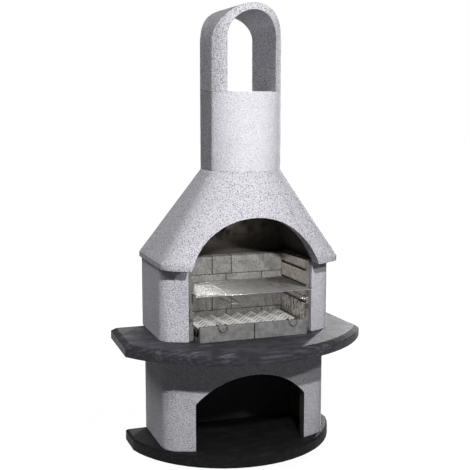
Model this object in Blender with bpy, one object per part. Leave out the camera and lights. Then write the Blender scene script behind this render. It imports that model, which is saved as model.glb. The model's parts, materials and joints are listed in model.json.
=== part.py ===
"""Outdoor masonry barbecue, a garden fireplace of cast concrete pieces with two removable grates.

Units are metres and +Z is up. The front faces -Y, the part is built about X = 0, and it stands on Z = 0.
Depths are measured forward from the straight back that all the castings share.
"""

import math

import bmesh
import bpy
from mathutils import Vector

# Gaps and drawing steps
SEAT = 0.0003
OVERRUN = 0.03
FRONT_STEPS = 12
CORNER_STEPS = 5
BACK_STEPS = 8
ARCH_STEPS = 20
ARRIS = 0.002

# Base slab
BASE_HALF_WIDTH = 0.535
BASE_SIDE_DEPTH = 0.165
BASE_DEPTH = 0.577
BASE_THICKNESS = 0.058
BASE_EDGE = 0.008

# Lower body with the log store
LOWER_BACK_HALF = 0.426
LOWER_HALF_WIDTH = 0.430
LOWER_SIDE_DEPTH = 0.372
LOWER_DEPTH = 0.480
LOWER_CORNER_RADIUS = 0.100
LOWER_HEIGHT = 0.490
LOWER_WALL = 0.045
STORE_HALF_WIDTH = 0.286
STORE_SPRING_HEIGHT = 0.236
STORE_RISE = 0.134

# Worktop
WORKTOP_BACK_HALF = 0.604
WORKTOP_HALF_WIDTH = 0.6175
WORKTOP_SIDE_DEPTH = 0.378
WORKTOP_DEPTH = 0.725
WORKTOP_THICKNESS = 0.059
SHOULDER_WIDTH = 0.024
SHOULDER_HEIGHT = 0.017

# Cheeks and rear wall round the fire opening
UPPER_BACK_HALF = 0.437
UPPER_HALF_WIDTH = 0.443
UPPER_SIDE_DEPTH = 0.377
UPPER_DEPTH = 0.492
UPPER_CORNER_RADIUS = 0.075
UPPER_HEIGHT = 0.359
OPENING_HALF_WIDTH = 0.3185
REAR_WALL_THICKNESS = 0.066

# Firebrick lining
LINING_HALF_WIDTH = 0.290
LINING_DEPTH = 0.418
LINING_HEADROOM = 0.002
SIDE_BRICK_THICKNESS = 0.0235
BOTTOM_BRICK_HEIGHT = 0.155
MIDDLE_BRICK_HEIGHT = 0.084
UPPER_BRICK_HEIGHT = 0.078
SLOT_HEIGHT = 0.014
SLOT_DEPTH = 0.009
BACK_TILE_THICKNESS = 0.060
BACK_TILE_COURSE = 0.094
BACK_TILE_TOP_COURSE = 0.093
BACK_TILE_JOINT = 0.001
EVEN_COURSE_SHARES = (0.0, 0.33, 0.51, 1.0)
ODD_COURSE_SHARES = (0.0, 0.46, 0.80, 1.0)
HEARTH_THICKNESS = 0.022
HEARTH_DEPTH = 0.440

# Front tiles that hold back the embers
FRONT_TILE_DEPTH = 0.476
FRONT_TILE_THICKNESS = 0.028
FRONT_TILE_HEIGHT = 0.075
FRONT_TILE_LENGTH = 0.2765
BAIL_RADIUS = 0.0032
BAIL_HALF_SPACING = 0.0215
BAIL_DROP = 0.029
BAIL_BEND = 0.006
BAIL_TAIL = 0.018
LEFT_BAIL_OFFSET = 0.163
RIGHT_BAIL_OFFSET = 0.203

# Folded charcoal grate
CHARCOAL_HALF_WIDTH = 0.284
CHARCOAL_BACK_CLEARANCE = 0.005
CHARCOAL_FRONT_DEPTH = 0.438
CHARCOAL_SHEET = 0.002
CHARCOAL_PITCH = 0.0735
CHARCOAL_RIDGES = 8
CHARCOAL_RIDGE_HEIGHT = 0.022
CHARCOAL_CREST_HEIGHT = 0.036
CHARCOAL_SLOTS = 9
SLOT_SPAN_SHARE = 0.56
SLOT_OPEN_SHARE = 0.42

# Cooking grate
GRATE_FRONT_DEPTH = 0.494
GRATE_BACK_CLEARANCE = 0.005
GRATE_SLOT_PLAY = 0.0005
FRAME_RADIUS = 0.003
FRAME_CORNER_RADIUS = 0.012
WIRE_RADIUS = 0.0016
WIRE_PITCH = 0.0133
HAIRPIN_RADIUS = 0.0026
HAIRPIN_HALF_SPACING = 0.0215
LEFT_HAIRPIN_OFFSET = 0.163
RIGHT_HAIRPIN_OFFSET = 0.180
HANDLE_REACH = 0.167
WELD = 0.0007
ROD_SIDES = 8

# Hood
HOOD_BACK_HALF = 0.450
HOOD_HALF_WIDTH = 0.456
HOOD_DEPTH = 0.602
HOOD_BULGE = 0.140
HOOD_CORNER_RADIUS = 0.090
HOOD_HEIGHT = 0.452
HOOD_LIP = 0.025
HOOD_WALL = 0.065
HOOD_CAVITY_HALF = 0.342
HOOD_CAVITY_BULGE = 0.092
HOOD_ARCH_RADIUS = 0.334
HOOD_ARCH_CROWN = 0.2385
HOOD_ARCH_OFFSET = 0.012
HOOD_NECK_CORNER_SHARE = 0.55

# Chimney block and arched top
CHIMNEY_HALF_WIDTH = 0.179
CHIMNEY_RADIUS = 0.198
CHIMNEY_CENTRE_DEPTH = 0.274
CHIMNEY_WALL = 0.050
BLOCK_HEIGHT = 0.375
TOP_HEIGHT = 0.407
PILLAR_WIDTH = 0.058
CROWN_THICKNESS = 0.032
PILLAR_STEPS = 3
WIDTH_STEPS = 4

# Heights of the stages, worked out from the pieces above
BASE_TOP = BASE_THICKNESS
LOWER_TOP = BASE_TOP + LOWER_HEIGHT
WORKTOP_TOP = LOWER_TOP + WORKTOP_THICKNESS
UPPER_TOP = WORKTOP_TOP + UPPER_HEIGHT
HOOD_TOP = UPPER_TOP + HOOD_HEIGHT
BLOCK_TOP = HOOD_TOP + BLOCK_HEIGHT
TOTAL_HEIGHT = BLOCK_TOP + TOP_HEIGHT

# Depths and levels shared by several pieces
BACK_Y = WORKTOP_DEPTH / 2
REAR_FACE = REAR_WALL_THICKNESS + SEAT
FIRE_BACK = REAR_FACE + BACK_TILE_THICKNESS
LINING_TOP = UPPER_TOP - LINING_HEADROOM
HEARTH_TOP = WORKTOP_TOP + SEAT + HEARTH_THICKNESS
CHARCOAL_CREST = HEARTH_TOP + CHARCOAL_CREST_HEIGHT
GRATE_LEDGE = WORKTOP_TOP + BOTTOM_BRICK_HEIGHT + MIDDLE_BRICK_HEIGHT - SLOT_HEIGHT
HOOD_SIDE_DEPTH = HOOD_DEPTH - HOOD_BULGE
HOOD_CAVITY_DEPTH = HOOD_DEPTH - HOOD_WALL
HOOD_CAVITY_SIDE_DEPTH = HOOD_CAVITY_DEPTH - HOOD_CAVITY_BULGE
FLUE_HALF_WIDTH = CHIMNEY_HALF_WIDTH - PILLAR_WIDTH
FLUE_RADIUS = CHIMNEY_RADIUS - CHIMNEY_WALL

# Finishes: colour, roughness, metallic
ROUGHCAST = ((0.62, 0.61, 0.66, 1.0), 0.95, 0.0)
DARK_CONCRETE = ((0.055, 0.056, 0.062, 1.0), 0.80, 0.0)
BLACK_CONCRETE = ((0.022, 0.022, 0.023, 1.0), 0.85, 0.0)
GREY_CONCRETE = ((0.21, 0.21, 0.22, 1.0), 0.92, 0.0)
FIREBRICK = ((0.27, 0.25, 0.22, 1.0), 0.93, 0.0)
EMBER_TILE = ((0.22, 0.22, 0.22, 1.0), 0.90, 0.0)
FOLDED_STEEL = ((0.62, 0.60, 0.58, 1.0), 0.42, 1.0)
CHROMED_WIRE = ((0.55, 0.55, 0.56, 1.0), 0.22, 1.0)
DARK_WIRE = ((0.06, 0.055, 0.05, 1.0), 0.55, 1.0)


def clear_scene():
    """Removes every object that the scene starts with."""
    for old in list(bpy.data.objects):
        bpy.data.objects.remove(old, do_unlink=True)


def add_node(name, bm, finish, origin=(0.0, 0.0, 0.0), smooth_degrees=20.0):
    """Turns a bmesh given in world places into one named object with its own material."""
    bmesh.ops.recalc_face_normals(bm, faces=bm.faces)
    bmesh.ops.translate(bm, verts=bm.verts, vec=[-c for c in origin])
    mesh = bpy.data.meshes.new(name)
    bm.to_mesh(mesh)
    bm.free()
    mesh.shade_smooth()
    mesh.set_sharp_from_angle(angle=math.radians(smooth_degrees))
    node = bpy.data.objects.new(name, mesh)
    node.location = origin
    bpy.context.scene.collection.objects.link(node)
    material = bpy.data.materials.new(name + "_finish")
    material.use_nodes = True
    shader = material.node_tree.nodes["Principled BSDF"]
    colour, roughness, metallic = finish
    shader.inputs["Base Color"].default_value = colour
    shader.inputs["Roughness"].default_value = roughness
    shader.inputs["Metallic"].default_value = metallic
    mesh.materials.append(material)
    return node


def add_tool(name, bm):
    """Makes a hidden cutter or joining shape for a Boolean modifier."""
    bmesh.ops.recalc_face_normals(bm, faces=bm.faces)
    mesh = bpy.data.meshes.new(name)
    bm.to_mesh(mesh)
    bm.free()
    tool = bpy.data.objects.new(name, mesh)
    tool.hide_render = True
    tool.display_type = "WIRE"
    bpy.context.scene.collection.objects.link(tool)
    return tool


def combine(node, tool, operation):
    """Adds an exact Boolean modifier to a node."""
    modifier = node.modifiers.new(operation.title(), "BOOLEAN")
    modifier.object = tool
    modifier.operation = operation
    modifier.solver = "EXACT"


def plan_half(back_half, side_half, side_depth, front_depth, corner_radius, inner_half=0.0):
    """Returns one half of a D-shaped plan, from the front arc round the shoulder to the back corner.

    The front arc passes through the front centre and the shoulder point, and the side runs straight
    from the shoulder to the back corner. A corner radius rounds the shoulder between them.
    """
    rise = front_depth - side_depth
    radius = (side_half ** 2 + rise ** 2) / (2 * rise)
    centre = front_depth - radius
    length = math.hypot(side_half - back_half, side_depth)
    along = ((side_half - back_half) / length, side_depth / length)
    inward = (-along[1], along[0])
    start_angle = math.asin(inner_half / radius)
    corner = []
    end_angle = math.atan2(side_half, side_depth - centre)
    if corner_radius > 0:
        base_x = back_half + inward[0] * corner_radius
        base_d = inward[1] * corner_radius - centre
        half_b = base_x * along[0] + base_d * along[1]
        rest = base_x ** 2 + base_d ** 2 - (radius - corner_radius) ** 2
        run = -half_b + math.sqrt(half_b ** 2 - rest)
        hub_x = base_x + along[0] * run
        hub_d = base_d + along[1] * run + centre
        end_angle = math.atan2(hub_x, hub_d - centre)
        side_angle = math.atan2(-inward[0], -inward[1])
        for step in range(1, CORNER_STEPS + 1):
            angle = end_angle + (side_angle - end_angle) * step / CORNER_STEPS
            corner.append((hub_x + corner_radius * math.sin(angle),
                           hub_d + corner_radius * math.cos(angle)))
    half = []
    for step in range(FRONT_STEPS + 1):
        angle = start_angle + (end_angle - start_angle) * step / FRONT_STEPS
        half.append((radius * math.sin(angle), centre + radius * math.cos(angle)))
    return half + corner + [(back_half, 0.0)]


def mirrored(half):
    """Returns the whole outline of a half that starts on the centre line, counter-clockwise from above."""
    left = [(-x, depth) for x, depth in reversed(half[1:])]
    return half + left


def flat_sided_round(half_width, radius, steps):
    """Returns the chimney plan, a circle with two flat sides, from the front centre to the back centre."""
    edge = math.asin(half_width / radius)
    angles = [edge * step / steps for step in range(steps + 1)]
    front = [(radius * math.sin(angle), CHIMNEY_CENTRE_DEPTH + radius * math.cos(angle)) for angle in angles]
    back = [(x, 2 * CHIMNEY_CENTRE_DEPTH - depth) for x, depth in reversed(front)]
    return front, back


def ring(bm, outline, height):
    """Adds the vertices of a plan outline at one height."""
    return [bm.verts.new((x, BACK_Y - depth, height)) for x, depth in outline]


def skin(bm, rings, closed):
    """Joins rings of equal count with faces, and either caps the ends or joins the last to the first."""
    pairs = list(zip(rings, rings[1:]))
    if closed:
        pairs.append((rings[-1], rings[0]))
    else:
        bm.faces.new(rings[0])
        bm.faces.new(rings[-1])
    for lower, upper in pairs:
        for index in range(len(lower)):
            following = (index + 1) % len(lower)
            bm.faces.new((lower[index], lower[following], upper[following], upper[index]))


def prism(outline, low, high):
    """Extrudes a plan outline between two heights."""
    bm = bmesh.new()
    skin(bm, [ring(bm, outline, low), ring(bm, outline, high)], closed=False)
    return bm


def block(x_low, x_high, depth_low, depth_high, low, high, arris=0.0):
    """Makes a box from plan limits and heights, with its edges broken by the arris."""
    corners = [(x_low, depth_high), (x_high, depth_high), (x_high, depth_low), (x_low, depth_low)]
    bm = prism(corners, low, high)
    if arris > 0:
        bmesh.ops.bevel(bm, geom=bm.edges[:], offset=arris, affect="EDGES", segments=1, profile=0.5,
                        material=-1)
    return bm


def top_edge_shoulder(bm, width, height):
    """Draws the flat top of a slab in and up, which leaves a sloping shoulder all round."""
    bm.faces.ensure_lookup_table()
    bmesh.ops.recalc_face_normals(bm, faces=bm.faces)
    top = max(bm.faces, key=lambda face: face.calc_center_median().z)
    bmesh.ops.inset_region(bm, faces=[top], thickness=width, depth=height, use_even_offset=True)


def arch_profile(half_width, spring, radius, centre, base):
    """Returns a doorway outline in X and Z: straight jambs up to the spring and a round head."""
    edge = math.asin(min(1.0, half_width / radius))
    angles = [edge * (1 - 2 * step / ARCH_STEPS) for step in range(1, ARCH_STEPS)]
    head = [(radius * math.sin(angle), centre + radius * math.cos(angle)) for angle in angles]
    jamb = [(-half_width, base), (half_width, base), (half_width, spring)]
    return jamb + head + [(-half_width, spring)]


def front_cut(profile, depth_low, depth_high):
    """Extrudes an outline in X and Z along the depth of the part."""
    bm = bmesh.new()
    near = [bm.verts.new((x, BACK_Y - depth_high, z)) for x, z in profile]
    far = [bm.verts.new((x, BACK_Y - depth_low, z)) for x, z in profile]
    skin(bm, [near, far], closed=False)
    return bm


def rod(bm, path, radius, closed=False):
    """Sweeps a round rod along a path of world places, carrying its section round without twist."""
    places = [Vector(place) for place in path]
    count = len(places)
    side = None
    rings = []
    for index, place in enumerate(places):
        before = places[index - 1] if closed or index > 0 else place
        after = places[(index + 1) % count] if closed or index < count - 1 else place
        along = (after - before).normalized()
        if side is None:
            upright = abs(along.z) > abs(along.x) + abs(along.y)
            side = along.cross(Vector((1.0, 0.0, 0.0)) if upright else Vector((0.0, 0.0, 1.0)))
        side = (side - along * side.dot(along)).normalized()
        other = side.cross(along)
        turn = []
        for corner in range(ROD_SIDES):
            angle = 2 * math.pi * (corner + 1 / 2) / ROD_SIDES
            turn.append(bm.verts.new(place + (side * math.cos(angle) + other * math.sin(angle)) * radius))
        rings.append(turn)
    skin(bm, rings, closed)


def rounded_rectangle(half_width, depth_low, depth_high, radius, height, steps):
    """Returns a level path round a rectangle with round corners."""
    corners = (
        (half_width - radius, depth_high - radius, 0.0),
        (half_width - radius, depth_low + radius, 1.0),
        (radius - half_width, depth_low + radius, 2.0),
        (radius - half_width, depth_high - radius, 3.0),
    )
    path = []
    for hub_x, hub_depth, quarter in corners:
        for step in range(steps + 1):
            angle = (quarter + step / steps) * math.pi / 2
            depth = hub_depth + radius * math.cos(angle)
            path.append((hub_x + radius * math.sin(angle), BACK_Y - depth, height))
    return path


def build_base_slab():
    """The black slab that the barbecue stands on."""
    outline = mirrored(plan_half(BASE_HALF_WIDTH, BASE_HALF_WIDTH, BASE_SIDE_DEPTH, BASE_DEPTH, 0.0))
    bm = prism(outline, 0.0, BASE_TOP - BASE_EDGE)
    top_edge_shoulder(bm, BASE_EDGE, BASE_EDGE)
    add_node("base_slab", bm, BLACK_CONCRETE)


def build_lower_body():
    """The hollow roughcast shell of the log store, with its arch, and the panel that closes its back."""
    outer = plan_half(LOWER_BACK_HALF, LOWER_HALF_WIDTH, LOWER_SIDE_DEPTH, LOWER_DEPTH,
                      LOWER_CORNER_RADIUS)
    inner = plan_half(LOWER_BACK_HALF - LOWER_WALL, LOWER_HALF_WIDTH - LOWER_WALL,
                      LOWER_SIDE_DEPTH - LOWER_WALL, LOWER_DEPTH - LOWER_WALL,
                      LOWER_CORNER_RADIUS - LOWER_WALL)
    outline = list(reversed([(-x, depth) for x, depth in outer])) + outer[1:]
    outline += list(reversed(inner)) + [(-x, depth) for x, depth in inner[1:]]
    shell = add_node("lower_shell", prism(outline, BASE_TOP + SEAT, LOWER_TOP), ROUGHCAST)
    radius = (STORE_HALF_WIDTH ** 2 + STORE_RISE ** 2) / (2 * STORE_RISE)
    spring = BASE_TOP + STORE_SPRING_HEIGHT
    centre = spring + STORE_RISE - radius
    profile = arch_profile(STORE_HALF_WIDTH, spring, radius, centre, BASE_TOP - OVERRUN)
    tool = add_tool("store_arch_cutter", front_cut(profile, LOWER_SIDE_DEPTH / 2, LOWER_DEPTH + OVERRUN))
    combine(shell, tool, "DIFFERENCE")
    panel_half = LOWER_BACK_HALF - LOWER_WALL - SEAT
    panel = block(-panel_half, panel_half, 0.0, LOWER_WALL, BASE_TOP + SEAT, LOWER_TOP)
    add_node("lower_back_panel", panel, GREY_CONCRETE)


def build_worktop():
    """The wide anthracite shelf with a sloping shoulder round its top."""
    half = plan_half(WORKTOP_BACK_HALF, WORKTOP_HALF_WIDTH, WORKTOP_SIDE_DEPTH, WORKTOP_DEPTH, 0.0)
    outline = mirrored(half)
    bm = prism(outline, LOWER_TOP + SEAT, WORKTOP_TOP - SHOULDER_HEIGHT)
    top_edge_shoulder(bm, SHOULDER_WIDTH, SHOULDER_HEIGHT)
    add_node("worktop", bm, DARK_CONCRETE)


def build_cheeks():
    """The two roughcast cheeks beside the fire and the plain wall behind it."""
    right = plan_half(UPPER_BACK_HALF, UPPER_HALF_WIDTH, UPPER_SIDE_DEPTH, UPPER_DEPTH, UPPER_CORNER_RADIUS,
                      OPENING_HALF_WIDTH)
    right.append((OPENING_HALF_WIDTH, 0.0))
    left = [(-x, depth) for x, depth in reversed(right)]
    for name, outline in (("cheek_left", left), ("cheek_right", right)):
        add_node(name, prism(outline, WORKTOP_TOP + SEAT, UPPER_TOP), ROUGHCAST)
    wall_half = OPENING_HALF_WIDTH - SEAT
    wall = block(-wall_half, wall_half, 0.0, REAR_WALL_THICKNESS, WORKTOP_TOP + SEAT, UPPER_TOP)
    add_node("rear_wall", wall, GREY_CONCRETE)


def side_brick(side, low, high, slotted):
    """Makes one side brick; a slotted one has a rebate along its inner top edge that carries a grate."""
    inner = LINING_HALF_WIDTH
    outer = LINING_HALF_WIDTH + SIDE_BRICK_THICKNESS
    section = [(outer, low), (outer, high)]
    if slotted:
        section += [(inner + SLOT_DEPTH, high), (inner + SLOT_DEPTH, high - SLOT_HEIGHT),
                    (inner, high - SLOT_HEIGHT), (inner, low)]
    else:
        section += [(inner, high), (inner, low)]
    section = [(side * x, z) for x, z in section]
    return front_cut(section, REAR_FACE, LINING_DEPTH)


def build_side_bricks():
    """The stacked firebricks of both sides, with the three slots between them."""
    heights = [BOTTOM_BRICK_HEIGHT, MIDDLE_BRICK_HEIGHT, UPPER_BRICK_HEIGHT]
    heights.append(LINING_TOP - WORKTOP_TOP - sum(heights))
    for side, word in ((-1, "left"), (1, "right")):
        low = WORKTOP_TOP
        for number, height in enumerate(heights, start=1):
            brick = side_brick(side, low + SEAT, low + height, slotted=number < len(heights))
            add_node(f"side_brick_{word}_{number}", brick, FIREBRICK)
            low += height


def build_back_tiles():
    """The four courses of firebrick behind the fire, in broken bond."""
    top = LINING_TOP - BACK_TILE_TOP_COURSE
    levels = [WORKTOP_TOP, top - 2 * BACK_TILE_COURSE, top - BACK_TILE_COURSE, top, LINING_TOP]
    width = 2 * (LINING_HALF_WIDTH - BACK_TILE_JOINT)
    for course in range(len(levels) - 1):
        cuts = EVEN_COURSE_SHARES if course % 2 else ODD_COURSE_SHARES
        for number in range(len(cuts) - 1):
            x_low = width * cuts[number] - width / 2 + BACK_TILE_JOINT / 2
            x_high = width * cuts[number + 1] - width / 2 - BACK_TILE_JOINT / 2
            low = levels[course] + SEAT
            tile = block(x_low, x_high, REAR_FACE, FIRE_BACK, low, levels[course + 1], ARRIS)
            add_node(f"back_tile_{course + 1}_{number + 1}", tile, FIREBRICK)


def build_hearth():
    """The slab under the charcoal grate, where the ash falls."""
    half = LINING_HALF_WIDTH - SEAT
    slab = block(-half, half, FIRE_BACK + SEAT, HEARTH_DEPTH, WORKTOP_TOP + SEAT, HEARTH_TOP, ARRIS)
    add_node("hearth_slab", slab, GREY_CONCRETE)


def build_front_tiles():
    """The two loose tiles in front of the embers, each with a wire clip over its top edge to lift it by."""
    low = WORKTOP_TOP + SEAT
    high = low + FRONT_TILE_HEIGHT
    back = FRONT_TILE_DEPTH - FRONT_TILE_THICKNESS
    for word, side, middle in (("left", -1, -LEFT_BAIL_OFFSET), ("right", 1, RIGHT_BAIL_OFFSET)):
        edges = sorted((side * SEAT / 2, side * FRONT_TILE_LENGTH))
        tile = block(edges[0], edges[1], back, FRONT_TILE_DEPTH, low, high, ARRIS)
        origin = (sum(edges) / 2, BACK_Y - FRONT_TILE_DEPTH + FRONT_TILE_THICKNESS / 2, low)
        add_node("front_tile_" + word, tile, EMBER_TILE, origin)
        near = BACK_Y - FRONT_TILE_DEPTH - SEAT - BAIL_RADIUS
        far = BACK_Y - back + SEAT + BAIL_RADIUS
        over = high + SEAT + BAIL_RADIUS
        leg = quarter_bend(near, over, 1.0) + quarter_bend(far, over, -1.0)[::-1]
        leg.append((far, over - BAIL_TAIL))
        loop = []
        hub = over - BAIL_DROP + BAIL_HALF_SPACING
        for step in range(2 * CORNER_STEPS + 1):
            angle = math.pi * step / (2 * CORNER_STEPS)
            loop.append((middle + BAIL_HALF_SPACING * math.cos(angle), near,
                         hub - BAIL_HALF_SPACING * math.sin(angle)))
        right_leg = [(middle + BAIL_HALF_SPACING, y, z) for y, z in reversed(leg)]
        left_leg = [(middle - BAIL_HALF_SPACING, y, z) for y, z in leg]
        bail = bmesh.new()
        rod(bail, right_leg + loop + left_leg, BAIL_RADIUS)
        add_node("tile_handle_" + word, bail, DARK_WIRE, (middle, near, over), smooth_degrees=60.0)


def quarter_bend(y, z, direction):
    """Returns the bend of a clip in Y and Z, from an upright leg at y to its level run at height z."""
    angles = [math.pi * step / (2 * CORNER_STEPS) for step in range(CORNER_STEPS + 1)]
    return [(y + direction * BAIL_BEND * (1 - math.cos(angle)), z - BAIL_BEND * (1 - math.sin(angle)))
            for angle in angles]


def charcoal_profile():
    """Returns the folded section of the charcoal grate in X and Z, with its flanks' slot cells marked."""
    crest = CHARCOAL_CREST - CHARCOAL_SHEET / 2
    valley = crest - CHARCOAL_RIDGE_HEIGHT
    foot = HEARTH_TOP + SEAT
    edge = CHARCOAL_HALF_WIDTH - CHARCOAL_SHEET / 2
    folds = [(-edge, foot), (-edge, crest)]
    first = -CHARCOAL_PITCH * (CHARCOAL_RIDGES - 1) / 2
    for ridge in range(CHARCOAL_RIDGES):
        folds.append((first + ridge * CHARCOAL_PITCH, crest))
        if ridge < CHARCOAL_RIDGES - 1:
            folds.append((first + (ridge + 1 / 2) * CHARCOAL_PITCH, valley))
    folds += [(edge, crest), (edge, foot)]
    margin = (1 - SLOT_SPAN_SHARE) / 2
    columns = [folds[0]]
    slotted = []
    for index, (begin, end) in enumerate(zip(folds, folds[1:])):
        sloping = 1 < index < len(folds) - 3
        cuts = (margin, 1 - margin, 1.0) if sloping else (1.0,)
        for number, cut in enumerate(cuts):
            columns.append((begin[0] + (end[0] - begin[0]) * cut, begin[1] + (end[1] - begin[1]) * cut))
            slotted.append(sloping and number == 1)
    return columns, slotted


def build_charcoal_grate():
    """The steel sheet folded into ridges, slotted on every flank, on two turned-down edges."""
    columns, slotted = charcoal_profile()
    depth_low = FIRE_BACK + CHARCOAL_BACK_CLEARANCE
    pitch = (CHARCOAL_FRONT_DEPTH - depth_low) / CHARCOAL_SLOTS
    rows = [depth_low]
    for slot in range(CHARCOAL_SLOTS):
        rows.append(depth_low + pitch * (slot + (1 - SLOT_OPEN_SHARE) / 2))
        rows.append(depth_low + pitch * (slot + (1 + SLOT_OPEN_SHARE) / 2))
    rows.append(CHARCOAL_FRONT_DEPTH)
    bm = bmesh.new()
    grid = [[bm.verts.new((x, BACK_Y - depth, z)) for x, z in columns] for depth in rows]
    for row in range(len(rows) - 1):
        for column, open_column in enumerate(slotted):
            if open_column and row % 2:
                continue
            bm.faces.new((grid[row][column], grid[row + 1][column],
                          grid[row + 1][column + 1], grid[row][column + 1]))
    origin = (0.0, BACK_Y - (depth_low + CHARCOAL_FRONT_DEPTH) / 2, HEARTH_TOP)
    grate = add_node("charcoal_grate", bm, FOLDED_STEEL, origin)
    solid = grate.modifiers.new("Sheet", "SOLIDIFY")
    solid.thickness = CHARCOAL_SHEET
    solid.offset = 0.0
    solid.use_even_offset = True


def build_cooking_grate():
    """The welded wire grate: a round-cornered frame, cross wires and two hairpins that form its handles."""
    depth_low = FIRE_BACK + GRATE_BACK_CLEARANCE + FRAME_RADIUS
    depth_high = GRATE_FRONT_DEPTH - FRAME_RADIUS
    half = LINING_HALF_WIDTH + SLOT_DEPTH - GRATE_SLOT_PLAY - FRAME_RADIUS
    level = GRATE_LEDGE + SEAT + FRAME_RADIUS
    wire_level = level - FRAME_RADIUS + WIRE_RADIUS
    pin_level = level - FRAME_RADIUS - HAIRPIN_RADIUS + WELD
    frame = bmesh.new()
    rod(frame, rounded_rectangle(half, depth_low, depth_high, FRAME_CORNER_RADIUS, level, CORNER_STEPS),
        FRAME_RADIUS, closed=True)
    origin = (0.0, BACK_Y - depth_high, level)
    grate = add_node("cooking_grate", frame, CHROMED_WIRE, origin, smooth_degrees=60.0)
    wires = bmesh.new()
    count = int((depth_high - depth_low - WIRE_PITCH / 2) / WIRE_PITCH)
    first = (depth_low + depth_high - (count - 1) * WIRE_PITCH) / 2
    for number in range(count):
        y = BACK_Y - first - number * WIRE_PITCH
        rod(wires, [(-half, y, wire_level), (half, y, wire_level)], WIRE_RADIUS)
    combine(grate, add_tool("cross_wires", wires), "UNION")
    pins = bmesh.new()
    reach = depth_high + HANDLE_REACH
    for middle in (-LEFT_HAIRPIN_OFFSET, RIGHT_HAIRPIN_OFFSET):
        path = [(middle - HAIRPIN_HALF_SPACING, BACK_Y - depth_low, pin_level)]
        for step in range(2 * CORNER_STEPS + 1):
            angle = math.pi * step / (2 * CORNER_STEPS)
            path.append((middle - HAIRPIN_HALF_SPACING * math.cos(angle),
                         BACK_Y - reach + HAIRPIN_HALF_SPACING * (1 - math.sin(angle)), pin_level))
        path.append((middle + HAIRPIN_HALF_SPACING, BACK_Y - depth_low, pin_level))
        rod(pins, path, HAIRPIN_RADIUS)
    combine(grate, add_tool("hairpins", pins), "UNION")


def hood_outlines():
    """Returns matching outer and inner outlines for the foot and the neck of the hood."""
    foot_half = plan_half(HOOD_BACK_HALF, HOOD_HALF_WIDTH, HOOD_SIDE_DEPTH, HOOD_DEPTH, HOOD_CORNER_RADIUS)
    back_x = foot_half[-1][0]
    foot_half += [(back_x * (1 - step / BACK_STEPS), 0.0) for step in range(1, BACK_STEPS)]
    outlines = [mirrored_closed(foot_half, 0.0)]
    for half_width, radius in ((CHIMNEY_HALF_WIDTH, CHIMNEY_RADIUS), (FLUE_HALF_WIDTH, FLUE_RADIUS)):
        edge = math.asin(half_width / radius)
        turned = HOOD_NECK_CORNER_SHARE
        angles = [edge * turned * step / FRONT_STEPS for step in range(FRONT_STEPS + 1)]
        angles += [edge * (turned + (1 - turned) * step / CORNER_STEPS)
                   for step in range(1, CORNER_STEPS + 1)]
        neck = [(radius * math.sin(angle), CHIMNEY_CENTRE_DEPTH + radius * math.cos(angle))
                for angle in angles]
        for step in range(BACK_STEPS):
            angle = edge * (1 - step / BACK_STEPS)
            neck.append((radius * math.sin(angle), CHIMNEY_CENTRE_DEPTH - radius * math.cos(angle)))
        outlines.append(mirrored_closed(neck, CHIMNEY_CENTRE_DEPTH - radius))
    inner_half = HOOD_CAVITY_HALF
    cavity = plan_half(inner_half, inner_half, HOOD_CAVITY_SIDE_DEPTH, HOOD_CAVITY_DEPTH, 0.0)[:-1]
    side_run = (HOOD_CAVITY_SIDE_DEPTH - REAR_WALL_THICKNESS) / 2
    cavity += [(inner_half, HOOD_CAVITY_SIDE_DEPTH - side_run * step / CORNER_STEPS)
               for step in range(1, CORNER_STEPS + 1)]
    cavity += [(inner_half * (1 - step / BACK_STEPS), REAR_WALL_THICKNESS) for step in range(BACK_STEPS)]
    outlines.append(mirrored_closed(cavity, REAR_WALL_THICKNESS))
    return outlines


def mirrored_closed(half, back_depth):
    """Mirrors a half outline that starts at the front centre and adds the point at the back centre."""
    left = [(-x, depth) for x, depth in reversed(half[1:])]
    return half + [(0.0, back_depth)] + left


def build_hood():
    """The hood, drawn in from a wide foot to the chimney, hollow inside and arched over the fire."""
    foot, neck, flue, cavity = hood_outlines()
    bm = bmesh.new()
    low = UPPER_TOP + SEAT
    rings = [ring(bm, foot, low), ring(bm, foot, low + HOOD_LIP), ring(bm, neck, HOOD_TOP),
             ring(bm, flue, HOOD_TOP), ring(bm, cavity, low)]
    skin(bm, rings, closed=True)
    hood = add_node("hood", bm, ROUGHCAST)
    crown = UPPER_TOP + HOOD_ARCH_CROWN
    centre = crown - HOOD_ARCH_RADIUS
    half = math.sqrt(HOOD_ARCH_RADIUS ** 2 - (UPPER_TOP - centre) ** 2)
    profile = arch_profile(half, UPPER_TOP, HOOD_ARCH_RADIUS, centre, UPPER_TOP - OVERRUN)
    profile = [(x - HOOD_ARCH_OFFSET, z) for x, z in profile]
    cutter = add_tool("hood_arch_cutter", front_cut(profile, LINING_DEPTH, HOOD_DEPTH + OVERRUN))
    combine(hood, cutter, "DIFFERENCE")


def build_chimney():
    """The chimney block with its flue."""
    bm = bmesh.new()
    loops = []
    for half_width, radius in ((CHIMNEY_HALF_WIDTH, CHIMNEY_RADIUS), (FLUE_HALF_WIDTH, FLUE_RADIUS)):
        front, back = flat_sided_round(half_width, radius, FRONT_STEPS)
        right = front + back
        loops.append(right + [(-x, depth) for x, depth in reversed(right[1:-1])])
    outer, flue = loops
    low = HOOD_TOP + SEAT
    rings = [ring(bm, outer, low), ring(bm, outer, BLOCK_TOP), ring(bm, flue, BLOCK_TOP),
             ring(bm, flue, low)]
    skin(bm, rings, closed=True)
    add_node("chimney_block", bm, ROUGHCAST)


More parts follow.
